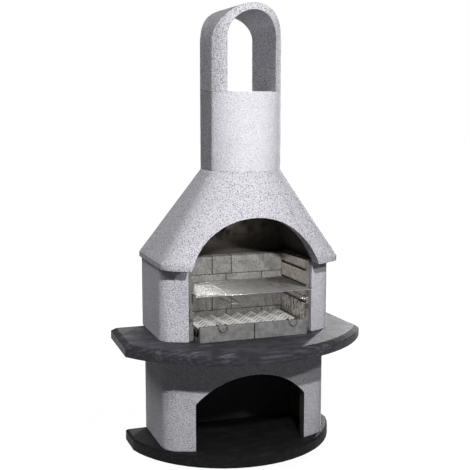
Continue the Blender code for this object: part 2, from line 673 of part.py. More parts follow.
def portal_path(half_width, spring, low, rise):
    """Returns an upside-down U in X and Z: up one pillar, over the arch and down the other."""
    heights = [low + (spring - low) * step / PILLAR_STEPS for step in range(PILLAR_STEPS)]
    angles = [math.pi * step / ARCH_STEPS for step in range(ARCH_STEPS + 1)]
    path = [(-half_width, z) for z in heights]
    path += [(-half_width * math.cos(angle), spring + rise * math.sin(angle)) for angle in angles]
    path += [(half_width, z) for z in reversed(heights)]
    return path


def build_chimney_top():
    """The arched top piece, open from front to back, on the plan of the block below."""
    low = BLOCK_TOP + SEAT
    outer = portal_path(CHIMNEY_HALF_WIDTH, TOTAL_HEIGHT - CHIMNEY_HALF_WIDTH, low, CHIMNEY_HALF_WIDTH)
    inner_crown = TOTAL_HEIGHT - CROWN_THICKNESS
    inner = portal_path(FLUE_HALF_WIDTH, inner_crown - FLUE_HALF_WIDTH, low, FLUE_HALF_WIDTH)
    bm = bmesh.new()
    rings = []
    for (in_x, in_z), (out_x, out_z) in zip(inner, outer):
        row = []
        for step in range(WIDTH_STEPS + 1):
            share = step / WIDTH_STEPS
            x = in_x + (out_x - in_x) * share
            row.append((x, in_z + (out_z - in_z) * share, math.sqrt(CHIMNEY_RADIUS ** 2 - x ** 2)))
        centre = BACK_Y - CHIMNEY_CENTRE_DEPTH
        front = [bm.verts.new((x, centre - reach, z)) for x, z, reach in row]
        back = [bm.verts.new((x, centre + reach, z)) for x, z, reach in reversed(row)]
        rings.append(front + back)
    skin(bm, rings, closed=False)
    add_node("chimney_top", bm, ROUGHCAST)


def build_barbecue():
    """Builds every piece from the ground up."""
    clear_scene()
    build_base_slab()
    build_lower_body()
    build_worktop()
    build_cheeks()
    build_side_bricks()
    build_back_tiles()
    build_hearth()
    build_front_tiles()
    build_charcoal_grate()
    build_cooking_grate()
    build_hood()
    build_chimney()
    build_chimney_top()


build_barbecue()
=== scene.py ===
"""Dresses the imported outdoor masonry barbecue: cast concrete, firebrick, folded steel sheet and wire.

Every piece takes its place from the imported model. Units are metres, +Z is up and the front faces -Y.
"""

import json
import logging
import math
from collections.abc import Callable, Iterable
from dataclasses import dataclass, field
from enum import Enum
from functools import lru_cache
from typing import TypeVar

import bmesh
import bpy
from mathutils import Matrix, Vector, noise


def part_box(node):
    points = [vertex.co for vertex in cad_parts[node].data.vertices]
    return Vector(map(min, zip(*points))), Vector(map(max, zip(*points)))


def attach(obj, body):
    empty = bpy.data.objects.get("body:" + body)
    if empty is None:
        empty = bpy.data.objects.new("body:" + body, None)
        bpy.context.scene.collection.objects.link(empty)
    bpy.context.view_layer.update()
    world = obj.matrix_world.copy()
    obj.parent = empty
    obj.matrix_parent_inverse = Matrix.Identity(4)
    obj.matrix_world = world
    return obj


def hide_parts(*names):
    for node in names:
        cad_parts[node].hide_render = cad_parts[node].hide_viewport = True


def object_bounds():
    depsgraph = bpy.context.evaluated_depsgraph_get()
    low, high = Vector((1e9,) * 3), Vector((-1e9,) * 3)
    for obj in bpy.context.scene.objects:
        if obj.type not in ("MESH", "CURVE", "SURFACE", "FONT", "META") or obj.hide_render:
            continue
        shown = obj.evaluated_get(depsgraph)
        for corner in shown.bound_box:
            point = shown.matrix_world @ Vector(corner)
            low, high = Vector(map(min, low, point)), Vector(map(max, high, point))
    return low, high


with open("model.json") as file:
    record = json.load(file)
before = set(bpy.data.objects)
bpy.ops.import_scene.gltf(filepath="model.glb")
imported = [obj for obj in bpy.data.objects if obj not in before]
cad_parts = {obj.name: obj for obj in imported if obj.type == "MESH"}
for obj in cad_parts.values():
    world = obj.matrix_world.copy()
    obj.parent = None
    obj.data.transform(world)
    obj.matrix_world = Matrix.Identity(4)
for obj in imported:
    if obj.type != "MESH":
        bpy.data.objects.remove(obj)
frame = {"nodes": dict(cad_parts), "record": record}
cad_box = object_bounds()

log = logging.getLogger("barbecue")

Kind = TypeVar("Kind")
Colour = tuple[float, float, float]
Place = tuple[float, float, float]
Size = tuple[float, float, float]
Band = tuple[float, float]
Bump = tuple[float, float]
Socket = bpy.types.NodeSocket
Mesh = bmesh.types.BMesh
Vertex = bmesh.types.BMVert
Edge = bmesh.types.BMEdge
Face = bmesh.types.BMFace

MERGE_DISTANCE = 1e-5
FLAT_ANGLE = math.radians(0.5)
RIGHT = Vector((1.0, 0.0, 0.0)).freeze()
AHEAD = Vector((0.0, -1.0, 0.0)).freeze()
UP = Vector((0.0, 0.0, 1.0)).freeze()


class Side(Enum):
    """The two sides of the barbecue, with the sign of their X."""

    LEFT = -1
    RIGHT = 1


class Lining(Enum):
    """The faces that a firebrick may show."""

    BACK = "smoked back course"
    PLAIN = "plain side brick"
    STREAKED = "side brick with cast streaks"


class Wire(Enum):
    """The two kinds of wire."""

    CHROMED = "chromed"
    DARK = "dark"


class Graph:
    """One procedural material, written node by node on Object coordinates."""

    def __init__(self, name: str, roughness: float, metallic: float = 0.0, specular: float = 0.4) -> None:
        """Starts a material with its shader's plain values.

        Args:
            name: Name of the material.
            roughness: Roughness where no socket drives it.
            metallic: 1 for bare metal.
            specular: The shader's specular level.
        """
        self.material = bpy.data.materials.new(name)
        self.material.use_nodes = True
        self.tree = self.material.node_tree
        self.shader = self.tree.nodes["Principled BSDF"]
        self.shader.inputs["Roughness"].default_value = roughness
        self.shader.inputs["Metallic"].default_value = metallic
        self.shader.inputs["Specular IOR Level"].default_value = specular
        self.place = self.tree.nodes.new("ShaderNodeTexCoord").outputs["Object"]

    def feed(self, socket: Socket, value: Socket | float | Colour) -> None:
        """Links a socket to another, or sets its plain value.

        Args:
            socket: The input to fill.
            value: A source socket, a number or a colour.
        """
        if isinstance(value, bpy.types.NodeSocket):
            self.tree.links.new(value, socket)
        elif isinstance(value, tuple):
            socket.default_value = (*value, 1.0)
        else:
            socket.default_value = value

    def stretched(self, size: Size) -> Socket:
        """Returns Object coordinates divided by a size along X, Y and Z.

        Args:
            size: Size of one unit of pattern along each axis.

        Returns:
            The stretched coordinates.
        """
        mapping = self.tree.nodes.new("ShaderNodeMapping")
        mapping.inputs["Scale"].default_value = [1.0 / length for length in size]
        self.tree.links.new(self.place, mapping.inputs["Vector"])
        return mapping.outputs["Vector"]

    def cloud(self, size: float | Size, detail: float, rough: float = 0.55, warp: float = 0.0) -> Socket:
        """Returns soft noise.

        Args:
            size: Size of one blot in metres, or one size for each axis.
            detail: Octaves of finer noise.
            rough: Share of each finer octave.
            warp: Distortion of the pattern.

        Returns:
            A value round 0.5.
        """
        node = self.tree.nodes.new("ShaderNodeTexNoise")
        sizes = size if isinstance(size, tuple) else (size, size, size)
        self.tree.links.new(self.stretched(sizes), node.inputs["Vector"])
        node.inputs["Scale"].default_value = 1.0
        node.inputs["Detail"].default_value = detail
        node.inputs["Roughness"].default_value = rough
        node.inputs["Distortion"].default_value = warp
        return node.outputs["Fac"]

    def pits(self, spacing: float) -> Socket:
        """Returns the distance to the nearest of many scattered points.

        Args:
            spacing: Mean spacing of the points in metres.

        Returns:
            A value that is 0 at each point.
        """
        node = self.tree.nodes.new("ShaderNodeTexVoronoi")
        self.tree.links.new(self.stretched((spacing, spacing, spacing)), node.inputs["Vector"])
        node.inputs["Scale"].default_value = 1.0
        return node.outputs["Distance"]

    def step(self, value: Socket, band: Band) -> Socket:
        """Returns a smooth step from 0 to 1.

        Args:
            value: What is measured.
            band: Where the step starts and where it ends; an end under the start turns it round.

        Returns:
            The step.
        """
        start, end = band
        node = self.tree.nodes.new("ShaderNodeMapRange")
        node.interpolation_type = "SMOOTHSTEP"
        self.tree.links.new(value, node.inputs["Value"])
        node.inputs["From Min"].default_value = min(start, end)
        node.inputs["From Max"].default_value = max(start, end)
        node.inputs["To Min"].default_value = 0.0 if start < end else 1.0
        node.inputs["To Max"].default_value = 1.0 if start < end else 0.0
        return node.outputs["Result"]

    def maths(self, operation: str, *terms: Socket | float) -> Socket:
        """Returns the result of a Math node.

        Args:
            operation: Name of the operation.
            terms: Its terms, in order.

        Returns:
            The result.
        """
        node = self.tree.nodes.new("ShaderNodeMath")
        node.operation = operation
        for socket, term in zip(node.inputs, terms):
            self.feed(socket, term)
        return node.outputs[0]

    def times(self, first: Socket | float, second: Socket | float) -> Socket:
        """Returns the product of two values."""
        return self.maths("MULTIPLY", first, second)

    def blend(self, share: Socket | float, first: Socket | Colour, second: Socket | Colour) -> Socket:
        """Returns a mix of two colours.

        Args:
            share: Share of the second colour.
            first: Colour at share 0.
            second: Colour at share 1.

        Returns:
            The mixed colour.
        """
        node = self.tree.nodes.new("ShaderNodeMix")
        node.data_type = "RGBA"
        factor, first_colour, second_colour = node.inputs[0], node.inputs[6], node.inputs[7]
        self.feed(factor, share)
        self.feed(first_colour, first)
        self.feed(second_colour, second)
        return node.outputs[2]

    def painted(self, name: str) -> Socket:
        """Returns a number that the mesh carries.

        Args:
            name: Name of the painted attribute.

        Returns:
            The number.
        """
        node = self.tree.nodes.new("ShaderNodeAttribute")
        node.attribute_name = name
        return node.outputs["Fac"]

    def relief(self, *layers: tuple[Socket, float, float]) -> None:
        """Chains bumps into the shader's normal.

        Args:
            layers: Height, strength and depth in metres of each bump.
        """
        normal = None
        for height, strength, depth in layers:
            node = self.tree.nodes.new("ShaderNodeBump")
            node.inputs["Strength"].default_value = strength
            node.inputs["Distance"].default_value = depth
            self.tree.links.new(height, node.inputs["Height"])
            if normal is not None:
                self.tree.links.new(normal, node.inputs["Normal"])
            normal = node.outputs["Normal"]
        self.tree.links.new(normal, self.shader.inputs["Normal"])

    def finish(self, colour: Socket, roughness: Socket | None = None) -> bpy.types.Material:
        """Feeds the shader and returns the material.

        Args:
            colour: Base colour.
            roughness: Roughness, where it varies.

        Returns:
            The material.
        """
        self.feed(self.shader.inputs["Base Color"], colour)
        if roughness is not None:
            self.feed(self.shader.inputs["Roughness"], roughness)
        return self.material


# In each finish, a plain length is the size of one unit of a pattern, a band says where the pattern's step
# starts and ends, a share how strongly it shows, and a bump the strength and depth of its relief.


@dataclass(frozen=True)
class Roughcast:
    """Pale stippled render on the castings, with soot, painted shade and painted light where the mesh says
    so, or left bare.

    Attributes:
        colour: Clean render.
        shaded: Its darker blots.
        grey_and_side_shade: Render greyed by rain where the mesh paints a tone on a casting's front, and
            painted shade where it paints one on its sides.
        pit: Hollows between the grains.
        speck: Dark grains.
        soot: Faces that look into a hollow: soot in the hood and the flue, painted shade in the lower shell's
            store.
        ash: Painted light, a pale patch in the soot over the hood's arch.
        mottle: Size of the darker blots.
        grain: Size of the finest stipple, whose hollows are the pits.
        pebble: Size of the coarser lumps, which also gather the dark grains.
        dot: Spacing of the dark grains.
        patch: Size of the patches of painted light.
    """

    colour: Colour = (0.73, 0.72, 0.775)
    shaded: Colour = (0.67, 0.66, 0.715)
    grey_and_side_shade: Colour = (0.52, 0.51, 0.55)
    pit: Colour = (0.24, 0.235, 0.25)
    speck: Colour = (0.10, 0.096, 0.105)
    soot: Colour = (0.070, 0.065, 0.057)
    ash: Colour = (0.90, 0.79, 0.67)
    mottle: float = 0.16
    grain: float = 0.0056
    grain_rough: float = 0.6
    pebble: float = 0.015
    dot: float = 0.0076
    patch: float = 0.07
    patch_warp: float = 0.6
    mottle_band: Band = (0.35, 0.68)
    pit_band: Band = (0.60, 0.36)
    dot_band: Band = (0.46, 0.18)
    pebble_band: Band = (0.22, 0.60)
    patch_band: Band = (0.30, 0.60)
    pit_share: float = 0.55
    pebble_bump: Bump = (0.6, 0.0045)
    grain_bump: Bump = (1.0, 0.0065)
    roughness: float = 0.93
    specular: float = 0.25

    def make(self) -> bpy.types.Material:
        """Builds the material.

        Returns:
            The material.
        """
        graph = Graph("roughcast", self.roughness, specular=self.specular)
        tone = graph.step(graph.cloud(self.mottle, detail=4.0), self.mottle_band)
        ground = graph.blend(tone, self.colour, self.shaded)
        # Greyer tone on a casting's front, and painted shade on its sides.
        ground = graph.blend(graph.painted("tone"), ground, self.grey_and_side_shade)
        fine = graph.cloud(self.grain, detail=2.0, rough=self.grain_rough)
        coarse = graph.cloud(self.pebble, detail=2.0)
        speckle = graph.painted("speckle")
        points = graph.step(graph.pits(self.dot), self.dot_band)
        dots = graph.times(points, graph.step(coarse, self.pebble_band))
        hollows = graph.times(graph.step(fine, self.pit_band), self.pit_share)
        # On a casting's sides the speckle goes past its grain, as painted shade.
        ground = graph.blend(graph.times(hollows, speckle), ground, self.pit)
        ground = graph.blend(graph.times(dots, speckle), ground, self.speck)
        # Faces looking into a hollow: soot in the hood and the flue, painted shade in the lower shell's
        # store.
        soot = graph.painted("soot")
        # A pale patch of painted light over the hood's arch.
        patches = graph.step(graph.cloud(self.patch, detail=4.0, warp=self.patch_warp), self.patch_band)
        darkened = graph.blend(graph.times(patches, graph.painted("ash")), self.soot, self.ash)
        ground = graph.blend(soot, ground, darkened)
        graph.relief((coarse, *self.pebble_bump), (fine, *self.grain_bump))
        return graph.finish(ground)


@dataclass(frozen=True)
class SlabConcrete:
    """Dyed smooth concrete with trowel streaks, faintly polished where it is handled.

    Attributes:
        name: Name of the material.
        colour: The dyed ground.
        pale: Its trowelled streaks and rubbed edges.
        roughness: Roughness of the ground.
        specular: The shader's specular level.
        pore: Colour of the pores.
        streak: Size of a trowel streak along each axis.
        slope_dullness: What a sloping face adds to the roughness.
        dullness: What every face adds to it.
        streak_polish: What a pale streak takes off it.
    """

    name: str
    colour: Colour
    pale: Colour
    roughness: float
    specular: float
    pore: Colour = (0.010, 0.010, 0.011)
    streak: Size = (0.22, 0.012, 0.012)
    blot: float = 0.07
    pore_spacing: float = 0.016
    grain: float = 0.0055
    streak_band: Band = (0.35, 0.75)
    blot_band: Band = (0.30, 0.72)
    pore_band: Band = (0.16, 0.06)
    pore_share: float = 0.6
    edge_share: float = 0.35
    streak_bump: Bump = (0.30, 0.0015)
    grain_bump: Bump = (0.70, 0.0022)
    pore_bump: Bump = (0.25, -0.0008)
    slope_dullness: float = 0.30
    dullness: float = 0.06
    streak_polish: float = 0.12

    def make(self) -> bpy.types.Material:
        """Builds the material.

        Returns:
            The material.
        """
        graph = Graph(self.name, self.roughness, specular=self.specular)
        streaks = graph.cloud(self.streak, detail=4.0)
        blots = graph.cloud(self.blot, detail=4.0)
        mottle = graph.times(graph.step(streaks, self.streak_band), graph.step(blots, self.blot_band))
        ground = graph.blend(mottle, self.colour, self.pale)
        pores = graph.step(graph.pits(self.pore_spacing), self.pore_band)
        ground = graph.blend(graph.times(pores, self.pore_share), ground, self.pore)
        ground = graph.blend(graph.times(graph.painted("edge"), self.edge_share), ground, self.pale)
        grain = graph.cloud(self.grain, detail=2.0)
        graph.relief((streaks, *self.streak_bump), (grain, *self.grain_bump), (pores, *self.pore_bump))
        dull = self.roughness + self.dullness
        rubbed = graph.maths("MULTIPLY_ADD", graph.painted("slope"), self.slope_dullness, dull)
        shine = graph.maths("SUBTRACT", rubbed, graph.times(mottle, self.streak_polish))
        return graph.finish(ground, shine)


@dataclass(frozen=True)
class GreyConcrete:
    """Bare grey concrete of the hidden slabs and the store's back, its colour darkened as painted shade.

    Attributes:
        colour: The ground, darkened as painted shade.
        pale: Its paler blots.
        sand: Its darker grains.
        pore: Colour of the pores.
    """

    colour: Colour = (0.055, 0.055, 0.056)
    pale: Colour = (0.090, 0.088, 0.085)
    sand: Colour = (0.045, 0.044, 0.043)
    pore: Colour = (0.018, 0.018, 0.018)
    blot: float = 0.16
    grain: float = 0.006
    pore_spacing: float = 0.022
    rough: float = 0.7
    blot_band: Band = (0.30, 0.74)
    grain_band: Band = (0.50, 0.70)
    pore_band: Band = (0.14, 0.05)
    grain_share: float = 0.5
    pore_share: float = 0.8
    blot_bump: Bump = (0.2, 0.002)
    grain_bump: Bump = (0.6, 0.0012)
    pore_bump: Bump = (0.3, -0.001)
    roughness: float = 0.92
    specular: float = 0.25

    def make(self) -> bpy.types.Material:
        """Builds the material.

        Returns:
            The material.
        """
        graph = Graph("grey_concrete", self.roughness, specular=self.specular)
        blots = graph.cloud(self.blot, detail=6.0, rough=self.rough)
        grain = graph.cloud(self.grain, detail=3.0, rough=self.rough)
        pores = graph.step(graph.pits(self.pore_spacing), self.pore_band)
        ground = graph.blend(graph.step(blots, self.blot_band), self.colour, self.pale)
        grains = graph.times(graph.step(grain, self.grain_band), self.grain_share)
        ground = graph.blend(grains, ground, self.sand)
        ground = graph.blend(graph.times(pores, self.pore_share), ground, self.pore)
        graph.relief((blots, *self.blot_bump), (grain, *self.grain_bump), (pores, *self.pore_bump))
        return graph.finish(ground)


@dataclass(frozen=True)
class Firebrick:
    """Fireclay greyed by smoke, with cast grooves where the lining is streaked.

    Attributes:
        lining: Which face the brick shows.
        colour: The ground.
        dark: Its darker blots.
        grit: Dark grains.
        joint: Dirt on the worn edges, which reads as the joint between bricks.
        darkened: The darkened front end of a side brick, and painted shade in the rebate along its top.
        groove: Bottom of a cast groove.
        rib: Size of a groove along each axis.
    """

    lining: Lining
    colour: Colour
    dark: Colour
    grit: Colour = (0.045, 0.042, 0.038)
    joint: Colour = (0.045, 0.042, 0.038)
    darkened: Colour = (0.085, 0.082, 0.078)
    groove: Colour = (0.05, 0.046, 0.04)
    blot: float = 0.05
    grain: Size = (0.0048, 0.0048, 0.0085)
    rib: Size = (0.03, 0.0075, 0.028)
    blot_band: Band = (0.36, 0.68)
    grit_band: Band = (0.50, 0.66)
    rib_band: Band = (0.52, 0.62)
    joint_band: Band = (0.4, 0.95)
    tone_share: float = 0.65
    grit_share: float = 0.55
    dark_end_share: float = 0.85
    groove_share: float = 0.85
    joint_share: float = 0.7
    blot_bump: Bump = (0.25, 0.0018)
    grain_bump: Bump = (0.55, 0.0008)
    groove_bump: Bump = (0.5, -0.0015)
    roughness: float = 0.92
    specular: float = 0.25

    def make(self) -> bpy.types.Material:
        """Builds the material.

        Returns:
            The material.
        """
        graph = Graph("firebrick_" + self.lining.name.lower(), self.roughness, specular=self.specular)
        blots = graph.cloud(self.blot, detail=5.0)
        grain = graph.cloud(self.grain, detail=2.0)
        ground = graph.blend(graph.step(blots, self.blot_band), self.colour, self.dark)
        ground = graph.blend(graph.times(graph.painted("tone"), self.tone_share), ground, self.dark)
        grit = graph.times(graph.step(grain, self.grit_band), self.grit_share)
        ground = graph.blend(grit, ground, self.grit)
        layers = [(blots, *self.blot_bump), (grain, *self.grain_bump)]
        # Darker front end, and painted shade in a side brick's rebate.
        ground = graph.blend(graph.times(graph.painted("end"), self.dark_end_share), ground, self.darkened)
        if self.lining is Lining.STREAKED:
            grooves = graph.step(graph.cloud(self.rib, detail=1.0), self.rib_band)
            ground = graph.blend(graph.times(grooves, self.groove_share), ground, self.groove)
            layers.append((grooves, *self.groove_bump))
        edge = graph.step(graph.painted("edge"), self.joint_band)
        ground = graph.blend(graph.times(edge, self.joint_share), ground, self.joint)
        graph.relief(*layers)
        return graph.finish(ground)


@dataclass(frozen=True)
class PressedTile:
    """Grey pressed tile, speckled, with pale knocks on its edges.

    Attributes:
        colour: The ground.
        pale: Its paler blots and the knocked edges.
        dark: Its specks.
        darkened: The end at the joint between the two tiles.
    """

    colour: Colour = (0.165, 0.163, 0.163)
    pale: Colour = (0.235, 0.232, 0.232)
    dark: Colour = (0.07, 0.07, 0.07)
    darkened: Colour = (0.035, 0.034, 0.033)
    blot: float = 0.035
    grain: float = 0.0032
    blot_band: Band = (0.36, 0.66)
    grain_band: Band = (0.54, 0.70)
    joint_band: Band = (0.35, 0.8)
    edge_share: float = 0.6
    blot_bump: Bump = (0.2, 0.0015)
    grain_bump: Bump = (0.5, 0.0007)
    roughness: float = 0.88
    specular: float = 0.3

    def make(self) -> bpy.types.Material:
        """Builds the material.

        Returns:
            The material.
        """
        graph = Graph("ember_tile", self.roughness, specular=self.specular)
        blots = graph.cloud(self.blot, detail=5.0)
        grain = graph.cloud(self.grain, detail=2.0)
        ground = graph.blend(graph.step(blots, self.blot_band), self.colour, self.pale)
        ground = graph.blend(graph.step(grain, self.grain_band), ground, self.dark)
        ground = graph.blend(graph.times(graph.painted("edge"), self.edge_share), ground, self.pale)
        ground = graph.blend(graph.step(graph.painted("joint"), self.joint_band), ground, self.darkened)
        graph.relief((blots, *self.blot_bump), (grain, *self.grain_bump))
        return graph.finish(ground)


@dataclass(frozen=True)
class FoldedSteel:
    """Bright rolled steel sheet, a little dulled by heat.

    Attributes:
        colour: Bright steel.
        dulled: Where heat and rolling have dulled it.
        leg_shade: Painted shade on the legs of the sheet.
        rolled: Size of a rolling mark along each axis.
        least_rough: Least roughness, to which the blots add up to blot_rough.
    """

    colour: Colour = (0.96, 0.945, 0.93)
    dulled: Colour = (0.84, 0.82, 0.80)
    leg_shade: Colour = (0.045, 0.042, 0.040)
    blot: float = 0.045
    rolled: Size = (0.004, 0.09, 0.004)
    blot_band: Band = (0.42, 0.72)
    rolled_band: Band = (0.5, 0.8)
    leg_band: Band = (0.15, 0.45)
    rolled_share: float = 0.3
    rolled_bump: Bump = (0.12, 0.0004)
    blot_bump: Bump = (0.12, 0.001)
    least_rough: float = 0.45
    blot_rough: float = 0.25
    metallic: float = 0.1
    specular: float = 0.5

    def make(self) -> bpy.types.Material:
        """Builds the material.

        Returns:
            The material.
        """
        graph = Graph("folded_steel", self.least_rough, self.metallic, self.specular)
        blots = graph.cloud(self.blot, detail=4.0)
        rolled = graph.cloud(self.rolled, detail=2.0)
        ground = graph.blend(graph.step(blots, self.blot_band), self.colour, self.dulled)
        marks = graph.times(graph.step(rolled, self.rolled_band), self.rolled_share)
        ground = graph.blend(marks, ground, self.dulled)
        # Painted shade on the legs.
        ground = graph.blend(graph.step(graph.painted("leg"), self.leg_band), ground, self.leg_shade)
        shine = graph.maths("MULTIPLY_ADD", blots, self.blot_rough, self.least_rough)
        graph.relief((rolled, *self.rolled_bump), (blots, *self.blot_bump))
        return graph.finish(ground, shine)


@dataclass(frozen=True)
class WireMetal:
    """Drawn wire, bright or darkened.

    Attributes:
        wire: Which wire it is.
        colour: The metal.
        dulled: Its dulled blots.
        roughness: Mean roughness, round which the blots spread it by blot_rough in all.
    """

    wire: Wire
    colour: Colour
    dulled: Colour
    roughness: float
    blot: float = 0.02
    blot_band: Band = (0.40, 0.70)
    blot_bump: Bump = (0.1, 0.0001)
    blot_rough: float = 0.10

    def make(self) -> bpy.types.Material:
        """Builds the material.

        Returns:
            The material.
        """
        graph = Graph(self.wire.value + "_wire", self.roughness, metallic=1.0)
        blots = graph.cloud(self.blot, detail=3.0)
        ground = graph.blend(graph.step(blots, self.blot_band), self.colour, self.dulled)
        least = self.roughness - self.blot_rough / 2
        shine = graph.maths("MULTIPLY_ADD", blots, self.blot_rough, least)
        graph.relief((blots, *self.blot_bump))
        return graph.finish(ground, shine)


ROUGHCAST = Roughcast()
DARK_SLAB = SlabConcrete("worktop_concrete", (0.017, 0.017, 0.021), (0.092, 0.092, 0.112),
                         roughness=0.52, specular=0.20)
BLACK_SLAB = SlabConcrete("base_concrete", (0.008, 0.008, 0.0085), (0.024, 0.024, 0.025),
                          roughness=0.60, specular=0.09)
# Grey concrete darkened as painted shade.
SHADED_BARE_CONCRETE = GreyConcrete()
BACK_BRICK = Firebrick(Lining.BACK, (0.385, 0.375, 0.357), (0.255, 0.246, 0.234))
SIDE_BRICK = Firebrick(Lining.PLAIN, (0.93, 0.865, 0.76), (0.70, 0.65, 0.58))
STREAKED_BRICK = Firebrick(Lining.STREAKED, (0.95, 0.90, 0.85), (0.78, 0.735, 0.69))
PRESSED_TILE = PressedTile()
STEEL_SHEET = FoldedSteel()
BRIGHT_WIRE = WireMetal(Wire.CHROMED, (0.36, 0.355, 0.35), (0.24, 0.235, 0.23), roughness=0.19)
DARK_WIRE = WireMetal(Wire.DARK, (0.15, 0.147, 0.143), (0.09, 0.088, 0.085), roughness=0.6)

Finish = Roughcast | SlabConcrete | GreyConcrete | Firebrick | PressedTile | FoldedSteel | WireMetal


@lru_cache(maxsize=None)
def material_of(finish: Finish) -> bpy.types.Material:
    """Returns the one material of a finish."""
    return finish.make()


def body_of(node: str) -> str:
    """Returns the body that a node belongs to."""
    bodies = frame["record"]["behaviour"]["bodies"]
    return next(body for body, members in bodies.items() if node in members)


def nodes_named(start: str) -> list[str]:
    """Returns the nodes whose names start alike, in order."""
    return sorted(node for node in frame["nodes"] if node.startswith(start))


def clamped(value: float) -> float:
    """Returns a value held between 0 and 1."""
    return min(1.0, max(0.0, value))


def only(items: Iterable, kind: type[Kind]) -> list[Kind]:
    """Returns the items of one kind, such as the points among what an operator made."""
    return [item for item in items if isinstance(item, kind)]


def edges_between(items: Iterable, verts: Iterable[Vertex]) -> list[Edge]:
    """Returns the edges that run between given points.

    Args:
        items: Parts of a mesh, among them the edges to choose from.
        verts: The points.

    Returns:
        The edges with both ends among the points.
    """
    ends = set(verts)
    return [edge for edge in only(items, Edge) if set(edge.verts) <= ends]


def draw_on(bm: Mesh, row: list[Edge], move: Vector) -> tuple[list[Edge], list[Face]]:
    """Draws a row of edges on, which leaves a strip of faces behind it.

    Args:
        bm: The mesh.
        row: The edges.
        move: How far and where they go.

    Returns:
        The row at its new place, and the faces of the strip.
    """
    made = bmesh.ops.extrude_edge_only(bm, edges=row)["geom"]
    verts = only(made, Vertex)
    bmesh.ops.translate(bm, verts=verts, vec=move)
    return edges_between(made, verts), only(made, Face)


def joined(meshes: list[Mesh]) -> Mesh:
    """Joins meshes into one and frees them.

    Args:
        meshes: The meshes.

    Returns:
        The whole.
    """
    whole = bmesh.new()
    for bm in meshes:
        mesh = bpy.data.meshes.new("part")
        bm.to_mesh(mesh)
        bm.free()
        whole.from_mesh(mesh)
        bpy.data.meshes.remove(mesh)
    return whole


def paint_points(bm: Mesh, name: str, value: Callable[[Vertex], float]) -> None:
    """Paints a number on every point of a mesh, for a material to read.

    Args:
        bm: The mesh.
        name: Name of the painted attribute.
        value: Gives the number of a point.
    """
    layers = bm.verts.layers.float
    layer = layers[name] if name in layers else layers.new(name)
    for vert in bm.verts:
        vert[layer] = value(vert)


def dress(bm: Mesh, finish: Finish, *nodes: str, smooth: float = 40.0) -> bpy.types.Object:
    """Makes a piece of the scene that stands for one or more nodes.

    Args:
        bm: The finished mesh, which is freed.
        finish: What it is made of.
        nodes: The nodes it stands for; the first gives its name and body.
        smooth: Edges under this angle in degrees are shaded smooth.

    Returns:
        The piece.
    """
    name = "dressed_" + nodes[0]
    mesh = bpy.data.meshes.new(name)
    bm.to_mesh(mesh)
    bm.free()
    mesh.shade_smooth()
    mesh.set_sharp_from_angle(angle=math.radians(smooth))
    mesh.materials.append(material_of(finish))
    piece = bpy.data.objects.new(name, mesh)
    bpy.context.scene.collection.objects.link(piece)
    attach(piece, body_of(nodes[0]))
    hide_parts(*nodes)
    log.info("%s: %d faces", name, len(mesh.polygons))
    return piece


